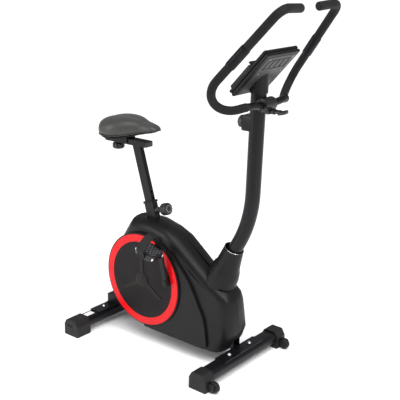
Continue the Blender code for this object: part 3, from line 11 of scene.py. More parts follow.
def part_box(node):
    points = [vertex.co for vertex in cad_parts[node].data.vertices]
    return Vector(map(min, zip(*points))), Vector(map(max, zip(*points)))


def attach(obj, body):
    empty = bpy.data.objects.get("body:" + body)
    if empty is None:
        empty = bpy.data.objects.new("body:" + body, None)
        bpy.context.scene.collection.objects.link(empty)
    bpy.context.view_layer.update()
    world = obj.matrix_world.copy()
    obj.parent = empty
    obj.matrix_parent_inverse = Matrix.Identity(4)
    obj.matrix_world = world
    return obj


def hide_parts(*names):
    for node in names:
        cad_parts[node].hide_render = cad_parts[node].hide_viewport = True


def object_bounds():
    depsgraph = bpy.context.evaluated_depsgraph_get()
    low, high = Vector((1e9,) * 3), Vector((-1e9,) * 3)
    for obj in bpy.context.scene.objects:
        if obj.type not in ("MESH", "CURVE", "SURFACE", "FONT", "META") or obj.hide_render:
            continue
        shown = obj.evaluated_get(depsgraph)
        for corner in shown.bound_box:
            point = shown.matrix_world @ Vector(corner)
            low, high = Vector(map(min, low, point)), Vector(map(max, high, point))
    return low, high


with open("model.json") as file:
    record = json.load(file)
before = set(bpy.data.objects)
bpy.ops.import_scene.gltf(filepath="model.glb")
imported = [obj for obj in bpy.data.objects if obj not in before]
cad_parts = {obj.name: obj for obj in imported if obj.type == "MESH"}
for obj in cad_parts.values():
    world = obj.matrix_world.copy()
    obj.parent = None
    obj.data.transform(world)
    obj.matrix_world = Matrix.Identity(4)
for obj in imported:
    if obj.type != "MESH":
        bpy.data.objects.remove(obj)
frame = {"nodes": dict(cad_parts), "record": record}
nodes = frame["nodes"]
cadBox = [list(corner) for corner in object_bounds()]
print("frame loaded:", len(nodes), "nodes")


def linear(hexColour):
    channels = [int(hexColour[i:i + 2], 16) / 255 for i in (1, 3, 5)]
    return [c / 12.92 if c <= 0.04045 else ((c + 0.055) / 1.055) ** 2.4 for c in channels] + [1.0]


def perMetre(millimetres):
    return 1000 / millimetres


def addNode(tree, kind, inputs=None, **settings):
    node = tree.nodes.new("ShaderNode" + kind)
    for name, value in settings.items():
        setattr(node, name, value)
    for socket, value in (inputs or {}).items():
        if isinstance(value, bpy.types.NodeSocket):
            tree.links.new(value, node.inputs[socket])
        else:
            node.inputs[socket].default_value = value
    return node


noiseSet = {
    "driftDetail": 4.0, "speckDetail": 5.0, "grainDetail": 3.0, "grainRoughness": 0.6, "grainsPerSpeck": 3,
    "shadeFrom": 0.12, "shadeTo": 0.40, "driftFrom": 0.3, "driftTo": 0.7,
}


def makeFinish(name, look):
    # look: colour and shade in hex, roughness low and high, grain kind, size and depth in millimetres
    n = noiseSet
    material = bpy.data.materials.new(name)
    material.use_nodes = True
    tree = material.node_tree
    shader = tree.nodes["Principled BSDF"]
    for socket, value in look.get("shader", {}).items():
        shader.inputs[socket].default_value = value
    place = addNode(tree, "TexCoord").outputs["Object"]
    mapping = addNode(tree, "Mapping", {"Vector": place, "Scale": look.get("stretch", (1, 1, 1))})
    stretched = mapping.outputs[0]
    driftScale, grainScale = perMetre(look["driftMm"]), perMetre(look["grainMm"])
    speckScale = perMetre(look["grainMm"] * n["grainsPerSpeck"])
    drift = addNode(tree, "TexNoise", {"Vector": place, "Scale": driftScale, "Detail": n["driftDetail"]})
    speck = addNode(tree, "TexNoise", {"Vector": stretched, "Scale": speckScale, "Detail": n["speckDetail"]})
    fine = {"Vector": stretched, "Scale": grainScale}
    if look["grain"] == "cells":
        height = addNode(tree, "TexVoronoi", fine).outputs["Distance"]
    else:
        fine |= {"Detail": n["grainDetail"], "Roughness": n["grainRoughness"]}
        height = addNode(tree, "TexNoise", fine).outputs["Fac"]
    both = {0: drift.outputs["Fac"], 1: speck.outputs["Fac"]}
    blend = addNode(tree, "Math", both, operation="MULTIPLY")
    shading = {0: blend.outputs[0], 1: n["shadeFrom"], 2: n["shadeTo"], 3: 0.0, 4: 1.0}
    share = addNode(tree, "MapRange", shading)
    colours = {0: share.outputs[0], 6: linear(look["colour"]), 7: linear(look["shade"])}
    tone = addNode(tree, "Mix", colours, data_type="RGBA")
    tree.links.new(tone.outputs[2], shader.inputs["Base Color"])
    low, high = look["roughness"]
    wear = {0: drift.outputs["Fac"], 1: n["driftFrom"], 2: n["driftTo"], 3: low, 4: high}
    rough = addNode(tree, "MapRange", wear)
    tree.links.new(rough.outputs[0], shader.inputs["Roughness"])
    bump = addNode(tree, "Bump", {"Height": height, "Distance": look["depthMm"] / 1000, "Strength": 1.0})
    tree.links.new(bump.outputs[0], shader.inputs["Normal"])
    return material


# Powder-coated steel tube: satin black, with a faint orange peel a couple of millimetres across.
powderCoat = makeFinish("powderCoatedSteelTube", {
    "colour": "#101013", "shade": "#0b0b0e", "roughness": (0.30, 0.38), "grain": "noise", "grainMm": 2.4,
    "depthMm": 0.035, "driftMm": 60, "shader": {"IOR": 1.45, "Specular IOR Level": 0.28},
})
# Injection-moulded ABS with a spark-eroded mould texture; 0.4 mm for real, drawn at 1.1 mm so that it shows.
casingAbs = makeFinish("mouldedAbsCasing", {
    "colour": "#171516", "shade": "#110f10", "roughness": (0.34, 0.42), "grain": "noise", "grainMm": 1.1,
    "depthMm": 0.030, "driftMm": 90, "shader": {"IOR": 1.5, "Specular IOR Level": 0.2},
})
# The same plastic polished a little finer, on the round covers.
discAbs = makeFinish("mouldedAbsRoundCover", {
    "colour": "#191516", "shade": "#131011", "roughness": (0.38, 0.46), "grain": "noise", "grainMm": 1.4,
    "depthMm": 0.030, "driftMm": 70, "shader": {"IOR": 1.5, "Specular IOR Level": 0.14},
})
# Nylon end caps, moulded grey-black: slightly chalky, so their edges read against the bars.
capNylon = makeFinish("mouldedNylonCap", {
    "colour": "#201f20", "shade": "#191819", "roughness": (0.48, 0.58), "grain": "noise", "grainMm": 1.3,
    "depthMm": 0.050, "driftMm": 30, "shader": {"IOR": 1.5, "Specular IOR Level": 0.25},
})
# Glass-filled nylon of knobs and small caps, moulded: a soft broad shine on black.
knobNylon = makeFinish("mouldedNylonKnob", {
    "colour": "#151516", "shade": "#101011", "roughness": (0.34, 0.44), "grain": "noise", "grainMm": 1.0,
    "depthMm": 0.040, "driftMm": 20, "shader": {"IOR": 1.53},
})
# The pedals' tread, painted a lighter grey than the pedal: a painted highlight that stands in for the light
# on its cell walls.
treadNylonHighlight = makeFinish("nylonTreadPaintedHighlight", {
    "colour": "#626265", "shade": "#4a4a4c", "roughness": (0.30, 0.44), "grain": "noise", "grainMm": 1.0,
    "depthMm": 0.05, "driftMm": 12, "shader": {"IOR": 1.53},
})
# Self-coloured red ABS ring, moulded against a polished face: the one clean bright colour.
redAbs = makeFinish("polishedRedAbs", {
    "colour": "#e30d16", "shade": "#d10a12", "roughness": (0.26, 0.34), "grain": "noise", "grainMm": 3.0,
    "depthMm": 0.015, "driftMm": 80, "shader": {"IOR": 1.45, "Specular IOR Level": 0.3},
})
# Closed-cell foam rubber sleeve: matt, with an open pebbled skin about a millimetre across.
foamSleeve = makeFinish("closedCellFoamSleeve", {
    "colour": "#171716", "shade": "#111110", "roughness": (0.62, 0.74), "grain": "cells", "grainMm": 1.2,
    "depthMm": 0.16, "driftMm": 35,
    "shader": {"IOR": 1.45, "Specular IOR Level": 0.22, "Sheen Weight": 0.03, "Sheen Roughness": 0.5},
})
# Vinyl cover pressed with a leather grain; cells of 1.3 mm, drawn at 1.8 mm so that they show.
saddleVinyl = makeFinish("embossedSaddleVinyl", {
    "colour": "#3d3d3b", "shade": "#333332", "roughness": (0.36, 0.46), "grain": "cells", "grainMm": 1.8,
    "depthMm": 0.12, "driftMm": 45,
    "shader": {"IOR": 1.5, "Specular IOR Level": 0.4, "Sheen Weight": 0.05, "Sheen Roughness": 0.4},
})
# Folded vinyl piping along the seam, darker and duller than the cover, so that it reads as a line.
pipingVinyl = makeFinish("foldedVinylPiping", {
    "colour": "#1d1d1c", "shade": "#171716", "roughness": (0.42, 0.52), "grain": "noise", "grainMm": 1.2,
    "depthMm": 0.08, "driftMm": 30, "shader": {"IOR": 1.5},
})
# Grey moulded ABS of the console's front and keys, coarser than the casing: a flat mid grey.
consoleAbs = makeFinish("mouldedGreyAbs", {
    "colour": "#343532", "shade": "#2a2b29", "roughness": (0.42, 0.52), "grain": "noise", "grainMm": 1.2,
    "depthMm": 0.05, "driftMm": 40, "shader": {"IOR": 1.54},
})
# Moulded rubber of wheels, straps and belt: the dullest black on the machine.
mouldedRubber = makeFinish("mouldedRubber", {
    "colour": "#141414", "shade": "#0f0f0f", "roughness": (0.52, 0.64), "grain": "noise", "grainMm": 0.9,
    "depthMm": 0.06, "driftMm": 25, "shader": {"IOR": 1.5, "Specular IOR Level": 0.3},
})
# Bright zinc plate on the bolts and the crank's axle: small cool highlights.
zincPlate = makeFinish("brightZincPlate", {
    "colour": "#b9bcc0", "shade": "#9da1a6", "roughness": (0.24, 0.36), "grain": "noise", "grainMm": 0.8,
    "depthMm": 0.02, "driftMm": 15, "shader": {"Metallic": 1.0},
})
# Dark-plated steel of the pulse sensors, brushed round the bar: a soft streak of light along it.
brushedStainless = makeFinish("brushedStainlessPlate", {
    "colour": "#2b2b2d", "shade": "#212123", "roughness": (0.40, 0.50), "grain": "noise", "grainMm": 0.7,
    "depthMm": 0.03, "driftMm": 20, "stretch": (1, 1, 6), "shader": {"Metallic": 1.0},
})
# Turned grey iron of the flywheel: fine lines round the rim.
greyIron = makeFinish("turnedGreyIron", {
    "colour": "#5a5a5c", "shade": "#444446", "roughness": (0.42, 0.58), "grain": "noise", "grainMm": 1.5,
    "depthMm": 0.06, "driftMm": 30, "stretch": (1, 8, 1), "shader": {"Metallic": 1.0},
})
# Bright-rolled metal of the seat knob's thin ring, which catches the light as a fine line; on the boot's lip
# the same bright grey is a painted highlight along its rim.
ringMetalAndLipHighlight = makeFinish("brightRingAndLipHighlight", {
    "colour": "#a5a5a6", "shade": "#8d8d8f", "roughness": (0.26, 0.34), "grain": "noise", "grainMm": 0.9,
    "depthMm": 0.01, "driftMm": 30, "shader": {"Metallic": 1.0},
})
# White prismatic acrylic of the pedal reflectors: fine cells that glint.
reflectorAcrylic = makeFinish("prismaticAcrylic", {
    "colour": "#f4f4f0", "shade": "#dcdcd8", "roughness": (0.12, 0.22), "grain": "cells", "grainMm": 2.2,
    "depthMm": 0.25, "driftMm": 10, "shader": {"IOR": 1.49, "Coat Weight": 0.5, "Coat Roughness": 0.1},
})
# A blank white polyester sticker: an even bright patch.
labelFilm = makeFinish("polyesterLabel", {
    "colour": "#e9e9e7", "shade": "#dededc", "roughness": (0.38, 0.46), "grain": "noise", "grainMm": 2.0,
    "depthMm": 0.01, "driftMm": 40, "shader": {"IOR": 1.5},
})
# Grey-green liquid crystal behind a clear window: pale, with a glassy gloss.
crystalDisplay = makeFinish("liquidCrystalDisplay", {
    "colour": "#8d9a8a", "shade": "#849181", "roughness": (0.14, 0.20), "grain": "noise", "grainMm": 3.0,
    "depthMm": 0.005, "driftMm": 25, "shader": {"IOR": 1.49, "Coat Weight": 0.6, "Coat Roughness": 0.05},
})
# Printed ink of the display's segments: flat dark strokes.
inkBlack = makeFinish("printedInk", {
    "colour": "#1d211d", "shade": "#171a17", "roughness": (0.30, 0.40), "grain": "noise", "grainMm": 1.0,
    "depthMm": 0.005, "driftMm": 10, "shader": {"IOR": 1.5},
})
print("finishes ready")

finishOf = {
    "black_paint": powderCoat, "black_plastic": casingAbs, "grey_plastic": consoleAbs, "red_plastic": redAbs,
    "black_foam": foamSleeve, "rubber": mouldedRubber, "steel": zincPlate, "cast_iron": greyIron,
    "vinyl": saddleVinyl, "screen": crystalDisplay,
}
finerFinish = {
    "front_cap_left": capNylon, "front_cap_right": capNylon,
    "rear_cap_left": capNylon, "rear_cap_right": capNylon,
    "disc_cover_left": discAbs, "disc_cover_right": discAbs,
    "saddle_knob": knobNylon, "seat_knob": knobNylon, "tension_knob": knobNylon, "clamp_knob": knobNylon,
    "rail_cap_front": knobNylon, "rail_cap_rear": knobNylon, "clamp_cap": knobNylon,
    "pulse_sensor_left": brushedStainless, "pulse_sensor_right": brushedStainless,
    "console_back": casingAbs,
    "button_left": consoleAbs, "button_middle": consoleAbs, "button_right": consoleAbs,
}


weldsPerMetre = 20000


def smoothNormals(obj, degrees=40):
    # one shared normal where faces that meet at a point turn less than the given angle
    mesh = obj.data
    mesh.shade_smooth()
    points = np.empty(len(mesh.vertices) * 3)
    mesh.vertices.foreach_get("co", points)
    spots = np.round(points.reshape(-1, 3) * weldsPerMetre).astype(int)
    keys = np.unique(spots, axis=0, return_inverse=True)[1].reshape(-1)
    faceNormals = np.empty(len(mesh.polygons) * 3)
    mesh.polygons.foreach_get("normal", faceNormals)
    faceNormals = faceNormals.reshape(-1, 3)
    areas = np.empty(len(mesh.polygons))
    mesh.polygons.foreach_get("area", areas)
    corners = np.empty(len(mesh.loops), int)
    mesh.loops.foreach_get("vertex_index", corners)
    owners = np.repeat(np.arange(len(mesh.polygons)), [p.loop_total for p in mesh.polygons])
    keyOfLoop = keys[corners]
    order = np.argsort(keyOfLoop, kind="stable")
    starts = np.flatnonzero(np.diff(keyOfLoop[order], prepend=-1))
    normals = np.empty((len(corners), 3))
    limit = math.cos(math.radians(degrees))
    for group in np.split(order, starts[1:]):
        mine = faceNormals[owners[group]]
        near = (mine @ mine.T) > limit
        total = (near * areas[owners[group]][None, :] ** 0.5) @ mine
        normals[group] = total / np.maximum(np.linalg.norm(total, axis=1), 1e-9)[:, None]
    mesh.normals_split_custom_set([tuple(n) for n in normals])


def paintReliefHighlight(material, colour, height):
    # the relief is painted lighter than the cover it stands on, a painted highlight for the light its ridges
    # catch: told apart by how far out it stands
    tree = material.node_tree
    shader = tree.nodes["Principled BSDF"]
    base = shader.inputs["Base Color"].links[0].from_socket
    place = addNode(tree, "TexCoord").outputs["Object"]
    across = addNode(tree, "SeparateXYZ", {0: place}).outputs["Y"]
    outward = addNode(tree, "Math", {0: across}, operation="ABSOLUTE").outputs[0]
    raised = addNode(tree, "Math", {0: outward, 1: height}, operation="GREATER_THAN").outputs[0]
    tone = addNode(tree, "Mix", {0: raised, 6: base, 7: linear(colour)}, data_type="RGBA")
    tree.links.new(tone.outputs[2], shader.inputs["Base Color"])


# painted highlight: the star and other relief on the round covers drawn a lighter grey
paintReliefHighlight(discAbs, "#241f1f", 0.0851)
slotOf = {entry["node"]: entry["material_slot"] for entry in frame["record"]["subparts"]}
for nodeName, node in nodes.items():
    node.data.materials.clear()
    node.data.materials.append(finerFinish.get(nodeName, finishOf[slotOf[nodeName]]))
    smoothNormals(node)
print("frame finished")


outlineMargin = 0.0001


def addPiece(name, shape, material, body, replaced=(), smooth=40):
    mesh = bpy.data.meshes.new(name)
    for vert in shape.verts:  # nothing stands outside the machine's outline
        limits = zip(vert.co, *cadBox)
        vert.co = [min(max(c, low + outlineMargin), high - outlineMargin) for c, low, high in limits]
    bmesh.ops.recalc_face_normals(shape, faces=shape.faces)
    shape.to_mesh(mesh)
    shape.free()
    mesh.materials.append(material)
    obj = bpy.data.objects.new(name, mesh)
    bpy.context.scene.collection.objects.link(obj)
    mesh.shade_smooth()
    mesh.set_sharp_from_angle(angle=math.radians(smooth))
    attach(obj, body)
    if replaced:
        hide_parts(*replaced)
    return obj


def lerpRow(rows, share):
    # a smooth row between given rows, by a cubic through the four nearest
    place = share * (len(rows) - 1)
    i = min(int(place), len(rows) - 2)
    t = place - i
    before, after = rows[max(i - 1, 0)], rows[min(i + 2, len(rows) - 1)]
    mixed = []
    for a, b, c, d in zip(before, rows[i], rows[i + 1], after):
        mixed.append(b + 0.5 * t * (c - a + t * (2 * a - 5 * b + 4 * c - d + t * (3 * (b - c) + d - a))))
    return mixed


def skin(rings, capStart=True, capEnd=True):
    # a closed skin over rings of points
    shape = bmesh.new()
    loops = [[shape.verts.new(point) for point in ring] for ring in rings]
    count = len(loops[0])
    for low, high in zip(loops, loops[1:]):
        for i in range(count):
            shape.faces.new((low[i], low[(i + 1) % count], high[(i + 1) % count], high[i]))
    if capStart:
        shape.faces.new(loops[0])
    if capEnd:
        shape.faces.new(loops[-1])
    return shape


def sweep(path, profile, up=None):
    # rings of a flat profile carried along a path without twist
    path = [Vector(p) for p in path]
    across = None
    rings = []
    for i, point in enumerate(path):
        along = (path[min(i + 1, len(path) - 1)] - path[max(i - 1, 0)]).normalized()
        if across is None:
            across = along.orthogonal().normalized() if up is None else along.cross(Vector(up)).normalized()
        across = (across - along * across.dot(along)).normalized()
        other = along.cross(across)
        rings.append([point + across * u + other * v for u, v in profile])
    return rings


def circle(radius, sides):
    angles = [2 * math.pi * i / sides for i in range(sides)]
    return [(radius * math.cos(a), radius * math.sin(a)) for a in angles]


def bend(before, corner, after, radius, steps):
    back, ahead = (before - corner).normalized(), (after - corner).normalized()
    half = back.angle(ahead) / 2
    middle = (back + ahead).normalized()
    centre = corner + middle * radius / math.sin(half)
    first = (back / math.tan(half) - middle / math.sin(half)).normalized()
    last = (ahead / math.tan(half) - middle / math.sin(half)).normalized()
    return [centre + first.slerp(last, i / steps) * radius for i in range(steps + 1)]


def roundBox(size, centre, turn=None, rounding=0.001, segments=2):
    shape = bmesh.new()
    bmesh.ops.create_cube(shape, size=1.0)
    bmesh.ops.scale(shape, vec=Vector(size), verts=shape.verts)
    rounded = {"offset": rounding, "segments": segments, "affect": "EDGES", "profile": 0.6}
    bmesh.ops.bevel(shape, geom=shape.edges[:], **rounded)
    if turn is not None:
        bmesh.ops.transform(shape, matrix=turn.to_4x4(), verts=shape.verts)
    bmesh.ops.translate(shape, vec=Vector(centre), verts=shape.verts)
    return shape


def merge(shapes):
    whole = bmesh.new()
    for shape in shapes:
        mesh = bpy.data.meshes.new("part")
        shape.to_mesh(mesh)
        shape.free()
        whole.from_mesh(mesh)
        bpy.data.meshes.remove(mesh)
    return whole


def lathe(profile, origin, axis, sides=48):
    # profile: (radius, height) along the axis, closed on itself
    turn = Vector((0, 0, 1)).rotation_difference(Vector(axis)).to_matrix()
    shape = bmesh.new()
    rings = []
    for i in range(sides):
        a = 2 * math.pi * i / sides
        points = [turn @ Vector((r * math.cos(a), r * math.sin(a), h)) for r, h in profile]
        rings.append([shape.verts.new(Vector(origin) + point) for point in points])
    for i in range(sides):
        one, two = rings[i], rings[(i + 1) % sides]
        for j in range(len(profile)):
            k = (j + 1) % len(profile)
            shape.faces.new((one[j], two[j], two[k], one[k]))
    return shape


handlebarShape = {
    "corners": (
        (0.317, 0.050, 1.021), (0.322, 0.109, 1.029), (0.152, 0.281, 0.966), (0.484, 0.167, 1.355),
        (0.475, 0.054, 1.349),
    ),
    "bends": (0.046, 0.078, 0.045), "bendSteps": 16, "sides": 32,
    "barRadius": 0.0127, "barFrom": 0.01, "barTo": 0.99,
    "gripRadius": 0.0148, "gripStart": 0.15, "gripStep": 0.005, "gripLip": 0.90,
    # the closed end: distance past the grip's last ring, share of its radius
    "gripEnd": ((0.0025, 0.93), (0.0045, 0.78), (0.0058, 0.5), (0.006, 0.15)),
    "sensorRadius": 0.0171, "sensorFrom": 0.53, "sensorTo": 0.645, "sensorStep": 0.004,
    "sensorLip": (0.90, 0.985),
}


def barPath():
    h = handlebarShape
    corners = [Vector(c) for c in h["corners"]]
    path = [Vector((corners[0].x, 0, corners[0].z)), corners[0]]
    for before, corner, after, radius in zip(corners, corners[1:], corners[2:], h["bends"]):
        path += bend(before, corner, after, radius, h["bendSteps"])
    return path + [corners[-1]]


def stretch(path, start, end, step=0.006):
    # evenly spaced points between two shares of a path's length
    lengths = [0.0]
    for a, b in zip(path, path[1:]):
        lengths.append(lengths[-1] + (b - a).length)
    first, last = start * lengths[-1], end * lengths[-1]
    count = max(2, int((last - first) / step))
    points = []
    for i in range(count + 1):
        goal = first + (last - first) * i / count
        reached = (j for j, far in enumerate(lengths) if far >= goal - 1e-9)
        k = max(1, min(len(path) - 1, next(reached, len(path) - 1)))
        span = lengths[k] - lengths[k - 1]
        points.append(path[k - 1].lerp(path[k], (goal - lengths[k - 1]) / span if span else 0))
    return points


def mirrorY(points):
    return [Vector((p.x, -p.y, p.z)) for p in points]


def buildHandlebar():
    h = handlebarShape
    left = barPath()
    whole = mirrorY(left)[::-1] + left[1:]
    bar = sweep(stretch(whole, h["barFrom"], h["barTo"]), circle(h["barRadius"], h["sides"]))
    addPiece("steelBar", skin(bar), powderCoat, "handlebar", ["handlebar"])
    for side in ("left", "right"):
        path = left if side == "left" else mirrorY(left)
        grip = stretch(path, h["gripStart"], 1.0, h["gripStep"])
        rings = sweep(grip, circle(h["gripRadius"], h["sides"]))
        lastRing, tip = rings[-1], grip[-1]
        along = (tip - grip[-2]).normalized()
        for reach, share in h["gripEnd"]:
            rings.append([tip + along * reach + (p - tip) * share for p in lastRing])
        rings.insert(0, [grip[0] + (p - grip[0]) * h["gripLip"] for p in rings[0]])
        addPiece("foamGrip_" + side, skin(rings), foamSleeve, "handlebar", ["grip_" + side])
        plate = stretch(path, h["sensorFrom"], h["sensorTo"], h["sensorStep"])
        rings = []
        for i, ring in enumerate(sweep(plate, circle(h["sensorRadius"], h["sides"]))):
            ends = min(i, len(plate) - 1 - i)
            share = h["sensorLip"][ends] if ends < len(h["sensorLip"]) else 1.0
            rings.append([plate[i] + (p - plate[i]) * share for p in ring])
        sensor = "pulse_sensor_" + side
        addPiece("pulsePlate_" + side, skin(rings), brushedStainless, "handlebar", [sensor])


buildHandlebar()
print("handlebar ready")

saddleShape = {
    # from the rear: share of the length, of the half width, of the underside's rise, of the height
    "rows": (
        (0.000, 0.30, 0.42, 0.52), (0.015, 0.60, 0.20, 0.72), (0.08, 0.88, 0.03, 0.88),
        (0.20, 1.00, 0.00, 0.97), (0.35, 0.98, 0.04, 1.00), (0.50, 0.82, 0.20, 0.98),
        (0.62, 0.60, 0.40, 0.93), (0.72, 0.44, 0.58, 0.86), (0.82, 0.36, 0.74, 0.81),
        (0.92, 0.30, 0.87, 0.73), (0.98, 0.20, 0.95, 0.64), (1.000, 0.08, 1.00, 0.57),
    ),
    # half a section, from the middle of the underside up to the crown: share of the half width,
    # of the height, of the groove's depth
    "section": (
        (0.0, 0.0, 0), (0.50, 0.0, 0), (0.82, 0.01, 0), (0.95, 0.10, 0), (0.995, 0.26, 0), (1.0, 0.42, 0),
        (0.975, 0.58, 0), (0.90, 0.74, 0), (0.76, 0.87, 0), (0.56, 0.955, 0), (0.32, 0.99, 0),
        (0.10, 1.0, 0.6), (0.0, 1.0, 1),
    ),
    "steps": 60, "noseRise": 0.040, "groove": 0.0030, "seamOut": 0.955, "seamUp": 0.10,
    "pipingRadius": 0.0022, "pipingSides": 10, "smooth": 60,
}


def buildSaddle():
    s = saddleShape
    low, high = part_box("saddle_pad")
    length, half, height = high.x - low.x, (high.y - low.y) / 2, high.z - low.z
    rings, edges = [], []
    for i in range(s["steps"] + 1):
        along, wide, up, tall = lerpRow(s["rows"], i / s["steps"])
        x = low.x + length * min(max(along, 0.0), 1.0)
        w = half * min(wide, 1.0)
        bottom = low.z + s["noseRise"] * max(up, 0.0)
        h = low.z + height * min(tall, 1.0) - bottom
        dip = s["groove"] * math.sin(math.pi * i / s["steps"]) ** 2
        side = [(y * w, bottom + z * h - d * dip) for y, z, d in s["section"]]
        rings.append([(x, y, z) for y, z in side] + [(x, -y, z) for y, z in reversed(side[1:-1])])
        edges.append((x, s["seamOut"] * w, bottom + s["seamUp"] * h))
    pad = addPiece("saddleCover", skin(rings), saddleVinyl, "saddle", ["saddle_pad"], s["smooth"])
    smoother = pad.modifiers.new("smoother", "SUBSURF")
    smoother.levels = 1
    smoother.render_levels = 1
    seam = edges + [(x, -y, z) for x, y, z in reversed(edges)]
    seam = [Vector(p) for p in seam] + [Vector(seam[0])]
    rings = sweep(seam, circle(s["pipingRadius"], s["pipingSides"]), (0, 0, 1))
    addPiece("saddlePiping", skin(rings), pipingVinyl, "saddle", (), s["smooth"])


buildSaddle()
print("saddle ready")

pedalShape = {
    "tilt": 18.0, "length": 0.092, "width": 0.084, "height": 0.024, "sides": 64, "squareness": 0.55,
    # the rim's rows: how far the faces and the chamfers draw in
    "faceIn": 0.0030, "chamfer": 0.0012, "chamferIn": 0.0008, "rimHalf": 0.004,
    "waist": 0.72, "waistHalf": 0.03,
    "cellRadius": 0.0072, "cellWall": 0.0016, "cellGap": 0.2, "cellFoot": 0.68, "cellProud": 0.0016,
    "cellReach": 3, "cellEdge": (0.014, 0.011),
    "reflector": (0.0085, 0.018, 0.009), "reflectorIn": 0.0058, "reflectorAcross": 0.022,
    "reflectorDrop": 0.001, "reflectorRounding": 0.0016,
    "strapWidth": 0.034, "strapRise": 0.056, "strapBulge": 0.010, "strapThickness": 0.003,
    "strapGap": 0.0006, "strapStart": 0.008, "strapSteps": 36, "strapLegs": (0.5, -0.1, -0.6),
    # the strap's ribs: distance in from its edge or from its middle, share of the half thickness
    "edgeRib": ((0.0, 1.5), (0.005, 1.5), (0.007, 0.4)), "middleRib": ((0.004, 0.4), (0.003, 1.1)),
}


def buildPedal(side):
    p = pedalShape
    sign = 1 if side == "right" else -1
    low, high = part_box("pedal_" + side)
    centre = (low + high) / 2
    turn = Matrix.Rotation(math.radians(p["tilt"]), 3, "Y")
    body = "pedal_" + side
    top = p["height"] / 2

    def placed(point):
        return centre + turn @ Vector(point)

    # the platform: a rounded oval, thinner across its middle
    upper = ((p["rimHalf"], 0.0), (top - p["chamfer"], -p["chamferIn"]), (top, -p["faceIn"]))
    rings = []
    for z, grow in [(-z, grow) for z, grow in reversed(upper)] + list(upper):
        ring = []
        for k in range(p["sides"]):
            a = 2 * math.pi * k / p["sides"]
            c, q = math.cos(a), math.sin(a)
            x = (p["length"] / 2 + grow) * math.copysign(abs(c) ** p["squareness"], c)
            y = (p["width"] / 2 + grow) * math.copysign(abs(q) ** p["squareness"], q)
            thin = p["waist"] + (1 - p["waist"]) * min(1.0, abs(y) / p["waistHalf"])
            ring.append(placed((x, y, z * thin)))
        rings.append(ring)
    addPiece("pedalBody_" + side, skin(rings), knobNylon, body, ["pedal_" + side], 50)
    # honeycomb tread: walls of hexagonal cells standing on both faces
    cells = []
    r, wall = p["cellRadius"], p["cellWall"]
    pitch = 2 * r * math.cos(math.pi / 6) + wall * p["cellGap"]
    foot, crest = top * p["cellFoot"], top + p["cellProud"]
    farthestX, farthestY = p["length"] / 2 - p["cellEdge"][0], p["width"] / 2 - p["cellEdge"][1]
    corners = [math.pi / 6 + k * math.pi / 3 for k in range(6)]
    span = range(-p["cellReach"], p["cellReach"] + 1)
    for face in (1, -1):
        for row in span:
            for column in span:
                x = column * pitch + (pitch / 2 if row % 2 else 0)
                y = row * pitch * math.cos(math.pi / 6)
                if abs(x) > farthestX or abs(y) > farthestY:
                    continue
                loops = []
                for radius, z in ((r, foot), (r, crest), (r - wall, crest), (r - wall, foot)):
                    ring = [(x + radius * math.cos(a), y + radius * math.sin(a), face * z) for a in corners]
                    loops.append([placed(point) for point in ring])
                cells.append(skin(loops + [loops[0]], False, False))
    # the tread's lighter grey is a painted highlight on the cell walls
    addPiece("treadCells_" + side, merge(cells), treadNylonHighlight, body)
    bars = []
    for x in (-1, 1):
        for y in (-1, 1):
            along = x * (p["length"] / 2 - p["reflectorIn"])
            place = placed((along, y * p["reflectorAcross"], -p["reflectorDrop"]))
            bars.append(roundBox(p["reflector"], place, turn, p["reflectorRounding"]))
    addPiece("pedalReflectors_" + side, merge(bars), reflectorAcrylic, body)
    w = p["width"] / 2 + p["strapThickness"] + p["strapGap"]
    arch = [(-w, top * share) for share in reversed(p["strapLegs"])]
    for i in range(p["strapSteps"] + 1):
        a = math.pi * (1 - i / p["strapSteps"])
        lean = sign * p["strapBulge"] * max(0.0, -sign * math.cos(a))
        arch.append((w * math.cos(a) - lean, top + p["strapStart"] + p["strapRise"] * math.sin(a)))
    arch += [(w, top * share) for share in p["strapLegs"]]
    half, thick = p["strapWidth"] / 2, p["strapThickness"] / 2
    ribs = [(half - x, thick * share) for x, share in p["edgeRib"]]
    ribs += [(x, thick * share) for x, share in p["middleRib"]]
    profile = [(-half, -thick), (half, -thick)] + ribs + [(-x, lift) for x, lift in reversed(ribs)]
    rings = []
    for i, (y, z) in enumerate(arch):
        before, after = Vector(arch[max(i - 1, 0)]), Vector(arch[min(i + 1, len(arch) - 1)])
        along = (after - before).normalized()
        out = Vector((-along.y, along.x))
        rings.append([placed((x, y + out.x * lift, z + out.y * lift)) for x, lift in profile])
    addPiece("footStrap_" + side, skin(rings), mouldedRubber, body, ["strap_" + side], 35)


buildPedal("right")
buildPedal("left")
print("pedals ready")


bootLipShape = {
    "lean": 22.3, "rim": (0.188, 0, 0.4685), "sides": 64,
    "profile": ((0.0352, 0.0004), (0.0375, 0.0004), (0.0379, 0.0012), (0.0370, 0.0020), (0.0356, 0.0016)),
}
knobRingShape = {
    "rise": 15.9, "base": (-0.2004, 0, 0.5362),
    "profile": ((0.0100, -0.0004), (0.0155, -0.0006), (0.0150, 0.0008), (0.0104, 0.0008)),
}
coverHubShape = {
    "centreX": -0.207, "centreZ": 0.264, "face": 0.0866, "radius": 0.0315, "hole": 0.0012, "sides": 64,
    "crown": 0.0030, "root": -0.0016,
    # share of the radius, height
    "dome": ((0.35, 0.0029), (0.78, 0.0020), (0.97, 0.0006), (1.0, -0.0016)),
}
labelShape = {"size": (0.026, 0.100, 0.0004), "centre": (-0.457, -0.178, 0.0643), "rounding": 0.00015}


def leaning(degrees):
    # forward and up, this far from upright
    return Vector((math.sin(math.radians(degrees)), 0, math.cos(math.radians(degrees))))


